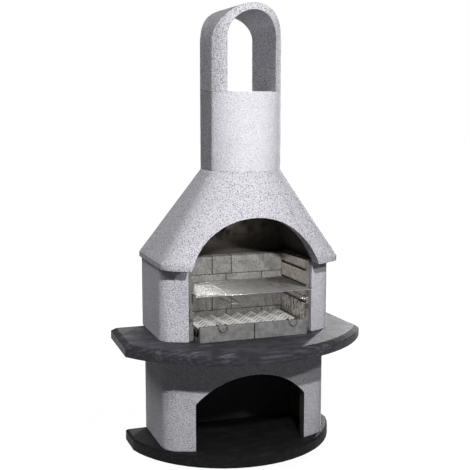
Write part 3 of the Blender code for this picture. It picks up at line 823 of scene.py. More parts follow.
@dataclass(frozen=True)
class Wear:
    """The broken edges and worn faces of a cast or pressed piece.

    Attributes:
        arris: Width that each sharp edge loses.
        cell: Spacing of the cuts that let a flat face carry wear.
        depth: Deepest wear of a face.
        size: Size of the wear's hollows.
        chip: Deepest knock of an edge.
        segments: Faces across a broken edge.
        fold: Least angle of an edge that breaks, in degrees.
        strides: How far a seed moves the wear's noise along each axis.
        falloff: How fast the finer octaves of the noise fade.
        octave_step: How much finer each octave is.
        octaves: How many octaves there are.
        knock_size: Size of a knock, as a share of a hollow's.
        edge_gain: How quickly a point counts as an edge as the surface folds there.
        seat_power: How strictly only a level face is spared as a seat.
    """

    arris: float
    cell: float
    depth: float
    size: float
    chip: float
    segments: int = 2
    fold: float = 30.0
    strides: Size = (7.3, 3.1, 5.7)
    falloff: float = 1.0
    octave_step: float = 2.0
    octaves: int = 3
    knock_size: float = 0.5
    edge_gain: float = 3.0
    seat_power: int = 4

    def blank(self, node: str) -> Mesh:
        """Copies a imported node's surface, breaks its edges and cuts its faces small.

        Args:
            node: Name of the node.

        Returns:
            A closed mesh at the node's place, ready to wear.
        """
        bm = bmesh.new()
        bm.from_mesh(frame["nodes"][node].data)
        bmesh.ops.remove_doubles(bm, verts=bm.verts, dist=MERGE_DISTANCE)
        bmesh.ops.dissolve_limit(bm, angle_limit=FLAT_ANGLE, verts=bm.verts, edges=bm.edges)
        self._break_edges(bm)
        self._cut_to_cells(bm)
        return bm

    def _break_edges(self, bm: Mesh) -> None:
        """Bevels the sharp edges.

        Args:
            bm: The mesh.
        """
        fold = math.radians(self.fold)
        sharp = [edge for edge in bm.edges if edge.is_manifold and edge.calc_face_angle(0.0) > fold]
        bmesh.ops.bevel(bm, geom=sharp, offset=self.arris, affect="EDGES", segments=self.segments,
                        profile=0.5, material=-1)

    def _cut_to_cells(self, bm: Mesh) -> None:
        """Cuts the mesh by level and upright planes.

        Args:
            bm: The mesh.
        """
        for axis in range(3):
            places = [vert.co[axis] for vert in bm.verts]
            low, high = min(places), max(places)
            count = max(1, round((high - low) / self.cell))
            normal = Vector.Fill(3, 0.0)
            normal[axis] = 1.0
            for index in range(1, count):
                place = Vector.Fill(3, 0.0)
                place[axis] = low + (high - low) * index / count
                whole = bm.verts[:] + bm.edges[:] + bm.faces[:]
                bmesh.ops.bisect_plane(bm, geom=whole, plane_co=place, plane_no=normal, dist=MERGE_DISTANCE)

    def apply(self, bm: Mesh, seed: float, tone: float = 0.0) -> None:
        """Wears a mesh inwards, knocks its edges and paints edge and tone on it. Level seats stay true.

        Args:
            bm: The mesh.
            seed: Offset of the noise, one for each piece.
            tone: Darkness of the whole piece, from 0 to 1.
        """
        edge_layer = bm.verts.layers.float.new("edge")
        tone_layer = bm.verts.layers.float.new("tone")
        bm.normal_update()
        start = Vector([seed * stride for stride in self.strides])
        for vert in bm.verts:
            sharpness = clamped((vert.calc_shell_factor() - 1.0) * self.edge_gain)
            place = vert.co / self.size + start
            hollow = 0.5 + 0.5 * noise.fractal(place, self.falloff, self.octave_step, self.octaves)
            knock = max(0.0, noise.noise(vert.co / (self.size * self.knock_size) + start / self.knock_size))
            level = vert.normal.z ** self.seat_power * (1.0 - sharpness)
            move = self.depth * clamped(hollow) * (1.0 - level) + self.chip * knock * sharpness
            vert.co -= vert.normal * move
            vert[edge_layer] = sharpness
            vert[tone_layer] = tone


@dataclass
class Sweep:
    """A round rod drawn from a ring by straight runs and bends.

    Attributes:
        radius: Radius of the rod.
        sides: Faces round it.
        bm: Its mesh.
        place: Centre of the newest ring.
        along: Direction of the rod there.
        ring: Edges of the newest ring.
    """

    radius: float
    sides: int = 12
    bm: Mesh = field(default_factory=bmesh.new)
    place: Vector = field(default_factory=Vector)
    along: Vector = field(default_factory=Vector)
    ring: list[Edge] = field(default_factory=list)

    def start(self, place: Vector, along: Vector) -> "Sweep":
        """Sets the first ring, square to the rod.

        Args:
            place: Centre of the ring.
            along: Direction in which the rod leaves.

        Returns:
            The sweep itself.
        """
        self.place, self.along = place.copy(), along.normalized()
        turn = Matrix.Translation(place) @ self.along.to_track_quat("Z", "Y").to_matrix().to_4x4()
        made = bmesh.ops.create_circle(self.bm, segments=self.sides, radius=self.radius, matrix=turn)
        self.ring = edges_between(self.bm.edges, made["verts"])
        return self

    def run(self, length: float) -> "Sweep":
        """Draws the rod straight on.

        Args:
            length: How far it goes.

        Returns:
            The sweep itself.
        """
        self.ring, _ = draw_on(self.bm, self.ring, self.along * length)
        self.place = self.place + self.along * length
        return self

    def bend(self, towards: Vector, radius: float, degrees: float, steps: int) -> "Sweep":
        """Bends the rod towards a direction.

        Args:
            towards: Direction from the rod to the centre of the bend.
            radius: Radius of the rod's axis.
            degrees: Angle of the bend.
            steps: Rings round the bend.

        Returns:
            The sweep itself.
        """
        axis = self.along.cross(towards).normalized()
        hub = self.place + towards.normalized() * radius
        angle = math.radians(degrees)
        verts = list(dict.fromkeys(vert for edge in self.ring for vert in edge.verts))
        made = bmesh.ops.spin(self.bm, geom=verts + self.ring, cent=hub, axis=axis, angle=angle, steps=steps,
                              use_duplicate=False)["geom_last"]
        self.ring = edges_between(made, only(made, Vertex))
        turn = Matrix.Rotation(angle, 3, axis)
        self.place = hub + turn @ (self.place - hub)
        self.along = turn @ self.along
        return self

    def close(self) -> Mesh:
        """Joins meeting rings, caps open ends and turns the faces outwards.

        Returns:
            The rod's mesh.
        """
        bmesh.ops.remove_doubles(self.bm, verts=self.bm.verts, dist=MERGE_DISTANCE)
        rims = [edge for edge in self.bm.edges if edge.is_boundary]
        if rims:
            bmesh.ops.holes_fill(self.bm, edges=rims, sides=0)
        bmesh.ops.recalc_face_normals(self.bm, faces=self.bm.faces)
        return self.bm


@dataclass
class Casting:
    """A roughcast casting with a broken arris and a worn face.

    Attributes:
        node: Its node.
        seed: Offset of its wear.
        speckle: How densely its front is specked with dark grains.
        side_speckle_and_shade: The same for its sides, where the denser grains are partly painted shade.
        tone: How far its front is greyed by rain.
        side_shade: How darkly its sides are painted in shade, in the same colour.
        side_facing: How far a face looks sideways before it starts to count as a side.
        wear: Its edges and faces.
    """

    node: str
    seed: float
    speckle: float = 0.75
    side_speckle_and_shade: float = 0.5
    tone: float = 0.0
    side_shade: float = 0.0
    side_facing: float = 0.85
    wear: Wear = Wear(arris=0.0006, cell=0.0115, depth=0.0014, size=0.035, chip=0.0014, segments=1)

    def form(self, bm: Mesh) -> None:
        """Leaves the cut mesh in the solid's shape; a casting that is rounder than its solid changes it."""

    def _turned(self, vert: Vertex, front: float, side: float) -> float:
        """Returns a value between the front's and the sides'.

        Args:
            vert: The point.
            front: Value on a face that looks forward.
            side: Value on a face that looks sideways.

        Returns:
            The value at the point.
        """
        sideways = max(0.0, (abs(vert.normal.x) - self.side_facing) / (1.0 - self.side_facing))
        return front + (side - front) * sideways

    def paint(self, bm: Mesh) -> None:
        """Paints how dark and how densely specked the casting is, in front and at its sides; the darker,
        denser sides are painted shade.

        Args:
            bm: The worn mesh.
        """
        bm.normal_update()
        paint_points(bm, "speckle", lambda vert: self._turned(vert, self.speckle, self.side_speckle_and_shade))
        paint_points(bm, "tone", lambda vert: self._turned(vert, self.tone, self.side_shade))

    def build(self) -> None:
        """Builds and dresses the casting."""
        bm = self.wear.blank(self.node)
        self.form(bm)
        self.wear.apply(bm, self.seed)
        self.paint(bm)
        dress(bm, ROUGHCAST, self.node)


@dataclass
class HollowCasting(Casting):
    """A casting round an upright hollow, dark on the faces that look into it: soot in the hood and the flue,
    painted shade in the lower shell's store.

    Attributes:
        hollow_depth: How far the middle of the hollow lies before the barbecue's back.
        rim: Width over which the dark fades.
        darkening_gain: How quickly a face darkens as it turns towards the hollow.
        box: The casting's box.
    """

    hollow_depth: float = 0.274
    rim: float = 0.030
    darkening_gain: float = 4.0
    box: tuple[Vector, Vector] = field(init=False)

    def __post_init__(self) -> None:
        """Looks up the casting's box once."""
        self.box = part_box(self.node)

    def front_reach(self, x: float, z: float) -> float:
        """Returns the depth at which the dark ends in front, which is nowhere on a plain hollow."""
        return math.inf

    def _soot_and_shade_share(self, vert: Vertex) -> float:
        """Returns how dark a point is, by how far it looks towards the middle of the hollow.

        Args:
            vert: The point.

        Returns:
            Its share of soot and painted shade.
        """
        depth = cad_box[1].y - vert.co.y
        out = Vector((vert.co.x, self.hollow_depth - depth, 0.0))
        inward = -out.dot(vert.normal) / max(out.length, self.rim)
        fade = clamped((self.front_reach(vert.co.x, vert.co.z) - depth) / self.rim)
        return clamped(inward * self.darkening_gain) * fade

    def paint(self, bm: Mesh) -> None:
        """Paints the soot and painted shade too, and fills single bare points in them.

        Args:
            bm: The worn mesh.
        """
        super().paint(bm)
        paint_points(bm, "soot", self._soot_and_shade_share)
        layer = bm.verts.layers.float["soot"]
        for vert in bm.verts:
            around = min(edge.other_vert(vert)[layer] for edge in vert.link_edges)
            vert[layer] = max(vert[layer], around)


@dataclass
class Hood(HollowCasting):
    """The hood, black with soot inside and bare on the soffit of its arch.

    A depth is measured forward from the barbecue's flat back. A share is a height between the lip and the
    neck, from 0 to 1.

    Attributes:
        wall: Thickness of the front.
        cavity_half: Half the width of the cavity at the lip.
        side_bulge: How far the cavity's front falls back at its sides, and over its height.
        light_patch_middle: X and Z of the middle of the painted light.
        light_patch_reach: Reach of the painted light across and upwards.
        corner_foot: Half width, depth and height of a front corner at the lip.
        corner_neck: The same at the neck.
        corner_reach: How far from the corner it is rubbed round.
        corner_top: Share above which it isn't.
        corner_passes: How often it is smoothed.
        corner_factor: How far each pass moves it.
        slope: The shares between which the form changes.
        back_half: Half the width of the straight back at the lip.
        back_reach: How far the solid's back may lie from the smooth one.
        back_facing: How far a face looks backwards before it counts as the back.
        neck_half: Half the width of the neck.
        neck_radius: Radius of the neck's round back.
        neck_depth: Depth of that radius's centre.
        tolerance: Width at which the search for a point of the back stops.
    """

    node: str = "hood"
    seed: float = 3.0
    speckle: float = 0.9
    side_speckle_and_shade: float = 0.8
    tone: float = 0.4
    side_shade: float = 0.3
    wall: float = 0.065
    cavity_half: float = 0.342
    side_bulge: float = 0.092
    light_patch_middle: tuple[float, float] = (-0.02, 1.115)
    light_patch_reach: tuple[float, float] = (0.15, 0.07)
    corner_foot: Place = (0.439, 0.465, 0.9913)
    corner_neck: Place = (0.179, 0.3586, 1.418)
    corner_reach: float = 0.058
    corner_top: float = 0.97
    corner_passes: int = 36
    corner_factor: float = 0.5
    slope: Band = (0.005, 0.995)
    back_half: float = 0.450
    back_reach: float = 0.03
    back_facing: float = 0.3
    neck_half: float = 0.179
    neck_radius: float = 0.198
    neck_depth: float = 0.274
    tolerance: float = 1e-4

    def front_reach(self, x: float, z: float) -> float:
        """Returns the depth of the cavity's front face above the arch.

        Args:
            x: Distance from the middle, to either side.
            z: Height.

        Returns:
            The depth at which the soot ends.
        """
        low, high = self.box
        rise = (z - low.z) / (high.z - low.z)
        front = cad_box[1].y - low.y - self.wall
        return front - self.side_bulge * (x / self.cavity_half) ** 2 - rise * self.side_bulge

    def share(self, vert: Vertex) -> float:
        """Returns a point's height between the lip and the neck, from 0 to 1."""
        foot, neck = self.corner_foot[2], self.corner_neck[2]
        return (vert.co.z - foot) / (neck - foot)

    def back_depth(self, across: float, share: float) -> float:
        """Returns the depth of the surface ruled between the straight foot and the round neck.

        Args:
            across: Distance from the middle of the hood.
            share: Height between the lip and the neck.

        Returns:
            The depth of the back there.
        """
        edge = math.asin(self.neck_half / self.neck_radius)
        near, far = 0.0, 1.0
        while far - near > self.tolerance:
            turn = (near + far) / 2
            reach = (1.0 - share) * self.back_half * turn + share * self.neck_radius * math.sin(edge * turn)
            near, far = (turn, far) if reach < across else (near, turn)
        return share * (self.neck_depth - self.neck_radius * math.cos(edge * near))

    def _draw_back(self, bm: Mesh, slope: list[Vertex]) -> None:
        """Sets the back of the hood on its smooth surface.

        Args:
            bm: The cut mesh.
            slope: The points between the lip and the neck.
        """
        bm.normal_update()
        plane = cad_box[1].y
        for vert in slope:
            share, across = self.share(vert), abs(vert.co.x)
            edge = (1.0 - share) * self.back_half + share * self.neck_half
            if vert.normal.y > self.back_facing and across < edge - self.wear.arris * 2:
                depth = self.back_depth(across, share)
                if abs(plane - vert.co.y - depth) < self.back_reach:
                    vert.co.y = plane - depth

    def _round_corners(self, bm: Mesh, slope: list[Vertex]) -> None:
        """Rubs the two leaning front corners round.

        Args:
            bm: The cut mesh.
            slope: The points between the lip and the neck.
        """
        foot, neck = Vector(self.corner_foot), Vector(self.corner_neck)
        plane = cad_box[1].y
        corners = []
        for vert in slope:
            share = self.share(vert)
            corner = foot.lerp(neck, share)
            away = math.hypot(abs(vert.co.x) - corner.x, plane - vert.co.y - corner.y)
            if away < self.corner_reach and share < self.corner_top:
                corners.append(vert)
        for _ in range(self.corner_passes):
            bmesh.ops.smooth_vert(bm, verts=corners, factor=self.corner_factor, use_axis_x=True,
                                  use_axis_y=True)

    def form(self, bm: Mesh) -> None:
        """Draws the back smooth and rubs the front corners round.

        Args:
            bm: The cut mesh.
        """
        lowest, highest = self.slope
        slope = [vert for vert in bm.verts if lowest < self.share(vert) < highest]
        self._draw_back(bm, slope)
        self._round_corners(bm, slope)

    def _painted_light_share(self, vert: Vertex) -> float:
        """Returns the share of painted light at a point.

        Args:
            vert: The point.

        Returns:
            Its share of painted light, which fades away from the middle of the patch.
        """
        across = (vert.co.x - self.light_patch_middle[0]) / self.light_patch_reach[0]
        upward = (vert.co.z - self.light_patch_middle[1]) / self.light_patch_reach[1]
        return math.exp(-across ** 2 - upward ** 2)

    def paint(self, bm: Mesh) -> None:
        """Paints the soot, and painted light over the arch, just left of the middle.

        Args:
            bm: The worn mesh.
        """
        super().paint(bm)
        paint_points(bm, "ash", self._painted_light_share)


@dataclass
class Slab:
    """A smooth dyed slab with a worn edge.

    Attributes:
        node: Its node.
        finish: Its concrete.
        seed: Offset of its wear.
        slope: Least and most upward part of a normal on the sloping shoulder.
        smooth: Edges under this angle in degrees are shaded smooth.
        wear: Its edges and faces.
    """

    node: str
    finish: SlabConcrete
    seed: float
    slope: Band = (0.25, 0.985)
    smooth: float = 35.0
    wear: Wear = Wear(arris=0.0025, cell=0.014, depth=0.0006, size=0.05, chip=0.0018)

    def build(self) -> None:
        """Builds and dresses the slab, duller on its sloping shoulder."""
        steep, level = self.slope
        bm = self.wear.blank(self.node)
        self.wear.apply(bm, self.seed)
        bm.normal_update()
        paint_points(bm, "slope", lambda vert: 1.0 if steep < vert.normal.z < level else 0.0)
        dress(bm, self.finish, self.node, smooth=self.smooth)


@dataclass(frozen=True)
class Bond:
    """A set of firebricks, each a little lighter or darker than the next.

    Attributes:
        start: How their nodes' names start.
        seed: Offset of the first one's wear.
        tone: Mean darkness, from which a brick departs by up to as much again.
        stride: How far the tone's noise moves from one brick to the next.
        offset: Where in the noise the set lies.
    """

    start: str
    seed: float
    tone: float
    stride: float
    offset: tuple[float, float]

    def tone_of(self, number: int) -> float:
        """Returns the darkness of one brick of the set."""
        return self.tone + self.tone * noise.noise(Vector((number * self.stride, *self.offset)))


@dataclass
class FireLining:
    """The firebricks behind and beside the fire, and the slabs that carry them.

    Attributes:
        back: The courses behind the fire.
        sides: The bricks beside it, of which the lowest are streaked.
        lowest: How the name of a lowest side brick ends.
        slabs: The nodes of the slabs.
        slab_seed: Offset of the first slab's wear.
        rebate_start: Depth from the face at which the rebate's painted shade starts, and over which it grows.
        end_gain: How quickly an end blackens as it turns forward.
        smooth: Edges under this angle in degrees are shaded smooth.
        wear: Edges and faces of the bricks and slabs.
    """

    back: Bond = Bond("back_tile_", seed=10.0, tone=0.5, stride=1.7, offset=(0.4, 2.2))
    sides: Bond = Bond("side_brick_", seed=40.0, tone=0.4, stride=2.3, offset=(1.4, 0.2))
    lowest: str = "_1"
    slabs: tuple[str, ...] = ("rear_wall", "hearth_slab", "lower_back_panel")
    slab_seed: float = 60.0
    rebate_start: float = 0.003
    end_gain: float = 2.0
    smooth: float = 50.0
    wear: Wear = Wear(arris=0.0018, cell=0.009, depth=0.0012, size=0.022, chip=0.0035)

    def brick(self, node: str, finish: Firebrick | GreyConcrete, seed: float, tone: float = 0.0) -> None:
        """Builds one brick or slab.

        Args:
            node: Its node.
            finish: What it is made of.
            seed: Offset of its wear.
            tone: Its darkness, from 0 to 1.
        """
        bm = self.wear.blank(node)
        self.wear.apply(bm, seed, tone)
        if node.startswith(self.sides.start):
            self.darken_end_and_shade_rebate(bm)
        dress(bm, finish, node, smooth=self.smooth)

    def darken_end_and_shade_rebate(self, bm: Mesh) -> None:
        """Darkens the front end of a side brick, and paints shade in the rebate along its top.

        Args:
            bm: The worn mesh.
        """
        bm.normal_update()
        face = min(abs(vert.co.x) for vert in bm.verts)

        def blackness(vert: Vertex) -> float:
            """Returns how black a point is."""
            behind = (abs(vert.co.x) - face - self.rebate_start) / self.rebate_start
            return clamped(max(-self.end_gain * vert.normal.y, behind))

        paint_points(bm, "end", blackness)

    def build(self) -> None:
        """Builds the back courses, both sides, the rear wall, the hearth and the lower back panel."""
        for number, node in enumerate(nodes_named(self.back.start)):
            self.brick(node, BACK_BRICK, self.back.seed + number, self.back.tone_of(number))
        for number, node in enumerate(nodes_named(self.sides.start)):
            finish = STREAKED_BRICK if node.endswith(self.lowest) else SIDE_BRICK
            self.brick(node, finish, self.sides.seed + number, self.sides.tone_of(number))
        for number, node in enumerate(self.slabs):
            self.brick(node, SHADED_BARE_CONCRETE, self.slab_seed + number)


@dataclass
class EmberTiles:
    """The two loose tiles in front of the embers, with their lifting clips.

    Attributes:
        seed: Offset of the tiles' wear, to which the side adds its sign.
        joint_width: Width of the smoked strip at the joint between the tiles.
        clip_radius: Radius of a clip's wire.
        clip_bend: Radius of its bends over the tile.
        bend_steps: Rings round such a bend.
        loop_steps: Rings round the loop in front.
        smooth: Edges under this angle in degrees are shaded smooth.
        wear: Edges and faces of the tiles.
    """

    seed: float = 70.0
    joint_width: float = 0.0027
    clip_radius: float = 0.0032
    clip_bend: float = 0.006
    bend_steps: int = 5
    loop_steps: int = 14
    smooth: float = 50.0
    wear: Wear = Wear(arris=0.0018, cell=0.007, depth=0.0008, size=0.018, chip=0.0030)

    def tile(self, side: Side) -> None:
        """Builds one tile.

        Args:
            side: Which tile.
        """
        node = "front_tile_" + side.name.lower()
        bm = self.wear.blank(node)
        self.wear.apply(bm, self.seed + side.value)
        joint = min(abs(vert.co.x) for vert in bm.verts) + self.joint_width
        paint_points(bm, "joint", lambda vert: 1.0 if abs(vert.co.x) < joint else 0.0)
        dress(bm, PRESSED_TILE, node, smooth=self.smooth)

    def clip(self, side: Side) -> None:
        """Builds one clip as a single bent wire: tail, over the tile, round the loop and back.

        Args:
            side: Which clip.
        """
        node = "tile_handle_" + side.name.lower()
        low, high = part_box(node)
        spacing = high.x - low.x - 2 * self.clip_radius
        near, far = low.y + self.clip_radius, high.y - self.clip_radius
        top = high.z - self.clip_radius
        tail = top - self.clip_bend - self._tail_end(node)
        drop = top - self.clip_bend - (low.z + self.clip_radius + spacing / 2)
        span = far - near - 2 * self.clip_bend
        foot = Vector((low.x + self.clip_radius, far, top - self.clip_bend - tail))
        sweep = Sweep(self.clip_radius).start(foot, UP)
        bend = (self.clip_bend, 90.0, self.bend_steps)
        sweep.run(tail).bend(AHEAD, *bend).run(span).bend(-UP, *bend).run(drop)
        sweep.bend(RIGHT, spacing / 2, 180.0, self.loop_steps)
        sweep.run(drop).bend(-AHEAD, *bend).run(span).bend(-UP, *bend).run(tail)
        dress(sweep.close(), DARK_WIRE, node, smooth=self.smooth)

    def _tail_end(self, node: str) -> float:
        """Returns the height at which the clip's tails end behind the tile."""
        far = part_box(node)[1].y - 2 * self.clip_radius
        return min(vert.co.z for vert in frame["nodes"][node].data.vertices if vert.co.y > far)

    def build(self) -> None:
        """Builds both tiles and both clips."""
        for side in Side:
            self.tile(side)
            self.clip(side)


@dataclass
class CharcoalGrate:
    """The folded steel sheet under the embers, with slots punched down every flank.

    Attributes:
        node: Its node.
        ridges: Number of ridges.
        pitch: Distance between two ridges.
        ridge_height: Height of a ridge.
        sheet: Thickness of the sheet.
        slots: Rows of slots down a flank.
        slot_share: Share of a row that is open.
        span_share: Share of a flank's width that a slot takes.
        slot_corner: How far a slot's corners are cut back, in corner_steps faces.
        flat_facing: Square of the upward part of a face's normal, above which it is flat, not a flank.
        smooth: Edges under this angle in degrees are shaded smooth.
    """

    node: str = "charcoal_grate"
    ridges: int = 8
    pitch: float = 0.0735
    ridge_height: float = 0.022
    sheet: float = 0.002
    slots: int = 9
    slot_share: float = 0.32
    span_share: float = 0.62
    slot_corner: float = 0.0026
    corner_steps: int = 3
    flat_facing: float = 0.95
    smooth: float = 25.0

    def folds(self) -> list[Vector]:
        """Returns the fold lines of the sheet from the left foot to the right foot, at its back edge.

        Returns:
            One point for each fold and each foot.
        """
        low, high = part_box(self.node)
        crest = high.z - self.sheet / 2
        left, right = low.x + self.sheet / 2, high.x - self.sheet / 2
        points = [(left, low.z), (left, crest)]
        first = -self.pitch * (self.ridges - 1) / 2
        for ridge in range(self.ridges):
            points.append((first + ridge * self.pitch, crest))
            if ridge < self.ridges - 1:
                points.append((first + (ridge + 0.5) * self.pitch, crest - self.ridge_height))
        points += [(right, crest), (right, low.z)]
        return [Vector((x, high.y, z)) for x, z in points]

    def _fold_line(self, bm: Mesh) -> None:
        """Draws the fold line and marks on each flank where a slot begins and ends.

        Args:
            bm: The empty mesh.
        """
        line = [bm.verts.new(point) for point in self.folds()]
        edges = [bm.edges.new(pair) for pair in zip(line, line[1:])]
        margin = (1.0 - self.span_share) / 2
        flanks = edges[2:-2]  # Without the leg and the flat strip at each end.
        for edge in flanks:
            begin, end = edge.verts[0].co.copy(), edge.verts[1].co.copy()
            cut = bmesh.ops.subdivide_edges(bm, edges=[edge], cuts=2)
            inner = only(cut["geom_inner"], Vertex)
            inner.sort(key=lambda vert: (vert.co - begin).length)
            for vert, share in zip(inner, (margin, 1.0 - margin)):
                vert.co = begin.lerp(end, share)

    def _draw_forward(self, bm: Mesh, length: float) -> list[Face]:
        """Draws the fold line forward in strips, one with slots between two plain ones for each row.

        Args:
            bm: The mesh, with the fold line alone.
            length: Length of the sheet.

        Returns:
            The faces of the strips that hold slots.
        """
        step = length / self.slots
        plain, open_part = step * (1.0 - self.slot_share) / 2, step * self.slot_share
        row = bm.edges[:]
        faces = []
        for _ in range(self.slots):
            row, _ = draw_on(bm, row, AHEAD * plain)
            row, strip = draw_on(bm, row, AHEAD * open_part)
            faces += strip
            row, _ = draw_on(bm, row, AHEAD * plain)
        return faces

    def _punch(self, bm: Mesh, faces: list[Face]) -> None:
        """Takes the slots out and rounds their corners.

        Args:
            bm: The drawn mesh.
            faces: The faces of the strips that hold slots.
        """
        bm.normal_update()
        wide = self.span_share * math.hypot(self.pitch / 2, self.ridge_height)
        punched = [face for face in faces if self._is_flank_middle(face, wide)]
        corners = list(dict.fromkeys(vert for face in punched for vert in face.verts))
        bmesh.ops.delete(bm, geom=punched, context="FACES")
        bmesh.ops.bevel(bm, geom=corners, offset=self.slot_corner, affect="VERTICES",
                        segments=self.corner_steps, profile=0.5, material=-1)

    def _is_flank_middle(self, face: Face, wide: float) -> bool:
        """Returns whether a strip's face is the middle cell of a flank."""
        widths = [edge.calc_length() for edge in face.edges]
        return face.normal.z ** 2 < self.flat_facing and abs(max(widths) - wide) < self.sheet

    def build(self) -> None:
        """Builds the sheet on its middle surface, dresses it and gives it its thickness."""
        low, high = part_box(self.node)
        bm = bmesh.new()
        self._fold_line(bm)
        self._punch(bm, self._draw_forward(bm, high.y - low.y))
        bmesh.ops.recalc_face_normals(bm, faces=bm.faces)
        # The legs take painted shade.
        leg = high.x - self.sheet
        paint_points(bm, "leg", lambda vert: 1.0 if abs(vert.co.x) > leg else 0.0)
        piece = dress(bm, STEEL_SHEET, self.node, smooth=self.smooth)
        solid = piece.modifiers.new("Sheet", "SOLIDIFY")
        solid.thickness = self.sheet
        solid.offset = 0.0
        solid.use_even_offset = True


@dataclass
class CookingGrate:
    """The chromed wire grate with its two hairpin handles.

    Attributes:
        node: Its node.
        frame_radius: Radius of the frame's wire.
        corner: Radius of the frame's corners, in corner_steps rings.
        wire_radius: Radius of a cross wire, with wire_sides faces round it.
        wire_pitch: Distance between two cross wires.
        pin_radius: Radius of a hairpin's wire.
        pin_spacing: Distance between a hairpin's two legs, joined in loop_steps rings.
        pin_offsets: X of the middle of each hairpin.
        handle_reach: How far a hairpin stands out in front of the frame.
        weld: How far a hairpin sinks into the wires over it.
        smooth: Edges under this angle in degrees are shaded smooth.
        half: Half the width between the frame's side wires.
        back: Y of the frame's back wire.
        front: Y of its front wire.
        tip: Y of the front of a hairpin's loop.
        level: Height of the frame's wire.
    """

    node: str = "cooking_grate"
    frame_radius: float = 0.003
    corner: float = 0.012
    corner_steps: int = 6
    wire_radius: float = 0.0016
    wire_sides: int = 10
    wire_pitch: float = 0.0133
    pin_radius: float = 0.0026
    pin_spacing: float = 0.043
    loop_steps: int = 14
    pin_offsets: tuple[float, float] = (-0.163, 0.180)
    handle_reach: float = 0.167
    weld: float = 0.0007
    smooth: float = 50.0
    half: float = field(init=False)
    back: float = field(init=False)
    front: float = field(init=False)
    tip: float = field(init=False)
    level: float = field(init=False)

    def __post_init__(self) -> None:
        """Reads the grate's place from its node."""
        low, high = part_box(self.node)
        self.half = high.x - self.frame_radius
        self.back = high.y - self.frame_radius
        self.tip = low.y + self.pin_radius
        self.front = self.tip + self.handle_reach
        self.level = high.z - self.frame_radius

    def rim(self) -> Mesh:
        """Draws the round-cornered frame once round, from the middle of its back.

        Returns:
            The frame.
        """
        across, deep = self.half - self.corner, self.back - self.front - 2 * self.corner
        rod = Sweep(self.frame_radius).start(Vector((0.0, self.back, self.level)), RIGHT).run(across)
        for inward, length in ((AHEAD, deep), (-RIGHT, 2 * across), (-AHEAD, deep), (RIGHT, across)):
            rod.bend(inward, self.corner, 90.0, self.corner_steps).run(length)
        return rod.close()

    def cross_wires(self) -> list[Mesh]:
        """Draws the wires across the frame, evenly spaced from its back to its front.

        Returns:
            The wires.
        """
        level = self.level - self.frame_radius + self.wire_radius
        depth = self.back - self.front
        count = int((depth - self.wire_pitch / 2) / self.wire_pitch)
        first = self.back - (depth - (count - 1) * self.wire_pitch) / 2
        wires = []
        for number in range(count):
            start = Vector((-self.half, first - number * self.wire_pitch, level))
            wire = Sweep(self.wire_radius, self.wire_sides).start(start, RIGHT).run(2 * self.half)
            wires.append(wire.close())
        return wires

    def hairpin(self, middle: float) -> Mesh:
        """Draws one hairpin under the wires, with its loop in front.

        Args:
            middle: X of its middle.

        Returns:
            The hairpin.
        """
        level = self.level - self.frame_radius - self.pin_radius + self.weld
        reach = self.back - self.tip - self.pin_spacing / 2
        start = Vector((middle - self.pin_spacing / 2, self.back, level))
        pin = Sweep(self.pin_radius).start(start, AHEAD).run(reach)
        return pin.bend(RIGHT, self.pin_spacing / 2, 180.0, self.loop_steps).run(reach).close()

    def build(self) -> None:
        """Builds the frame, the cross wires and the hairpins as one welded piece."""
        hairpins = [self.hairpin(middle) for middle in self.pin_offsets]
        whole = joined([self.rim(), *self.cross_wires(), *hairpins])
        dress(whole, BRIGHT_WIRE, self.node, smooth=self.smooth)


@dataclass(frozen=True)
class PhotoCamera:
    """The camera of the photograph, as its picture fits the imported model.

    Attributes:
        place: Where it stands.
        pitch_down: How far it looks down, in degrees.
        heading_right: How far it is turned to the right of straight ahead, in degrees.
        focal_pixels: Its focal length in pixels of the photograph.
        frame_pixels: Width of the photograph in pixels.
        sensor: Width of the sensor in millimetres.
    """

    place: Place = (-1.561, -4.1315, 1.719)
    pitch_down: float = 7.97
    heading_right: float = 19.97
    focal_pixels: float = 912.3
    frame_pixels: float = 470.0
    sensor: float = 36.0

    def build(self) -> None:
        """Makes the camera and gives it to the scene."""
        data = bpy.data.cameras.new("photo_camera")
        data.sensor_width = self.sensor
        data.lens = self.focal_pixels / self.frame_pixels * self.sensor
        camera = bpy.data.objects.new("photo_camera", data)
        camera.location = self.place
        camera.rotation_euler = (math.radians(90.0 - self.pitch_down), 0.0, -math.radians(self.heading_right))
        bpy.context.scene.collection.objects.link(camera)
        bpy.context.scene.camera = camera


def hang_lamp(name: str, data: bpy.types.Light, place: Vector, aim: Vector) -> None:
    """Places a lamp and turns it.

    Args:
        name: Name of the lamp.
        data: Its light.
        place: Where it stands.
        aim: The way it shines.
    """
    lamp = bpy.data.objects.new(name, data)
    lamp.location = place
    lamp.rotation_euler = aim.to_track_quat("-Z", "Y").to_euler()
    lamp.visible_camera = False
    bpy.context.scene.collection.objects.link(lamp)


@dataclass(frozen=True)
class NearLamp:
    """A round lamp near the barbecue.

    Attributes:
        name: Its name.
        place: Where it stands.
        width: Its diameter.
        power: Its power in watts.
        aim: What it shines at.
    """

    name: str
    place: Place
    width: float
    power: float
    aim: Place = (0.0, 0.0, 1.15)

    def build(self) -> None:
        """Makes the lamp."""
        light = bpy.data.lights.new(self.name, "AREA")
        light.shape = "DISK"
        light.size = self.width
        light.energy = self.power
        hang_lamp(self.name, light, Vector(self.place), Vector(self.aim) - Vector(self.place))


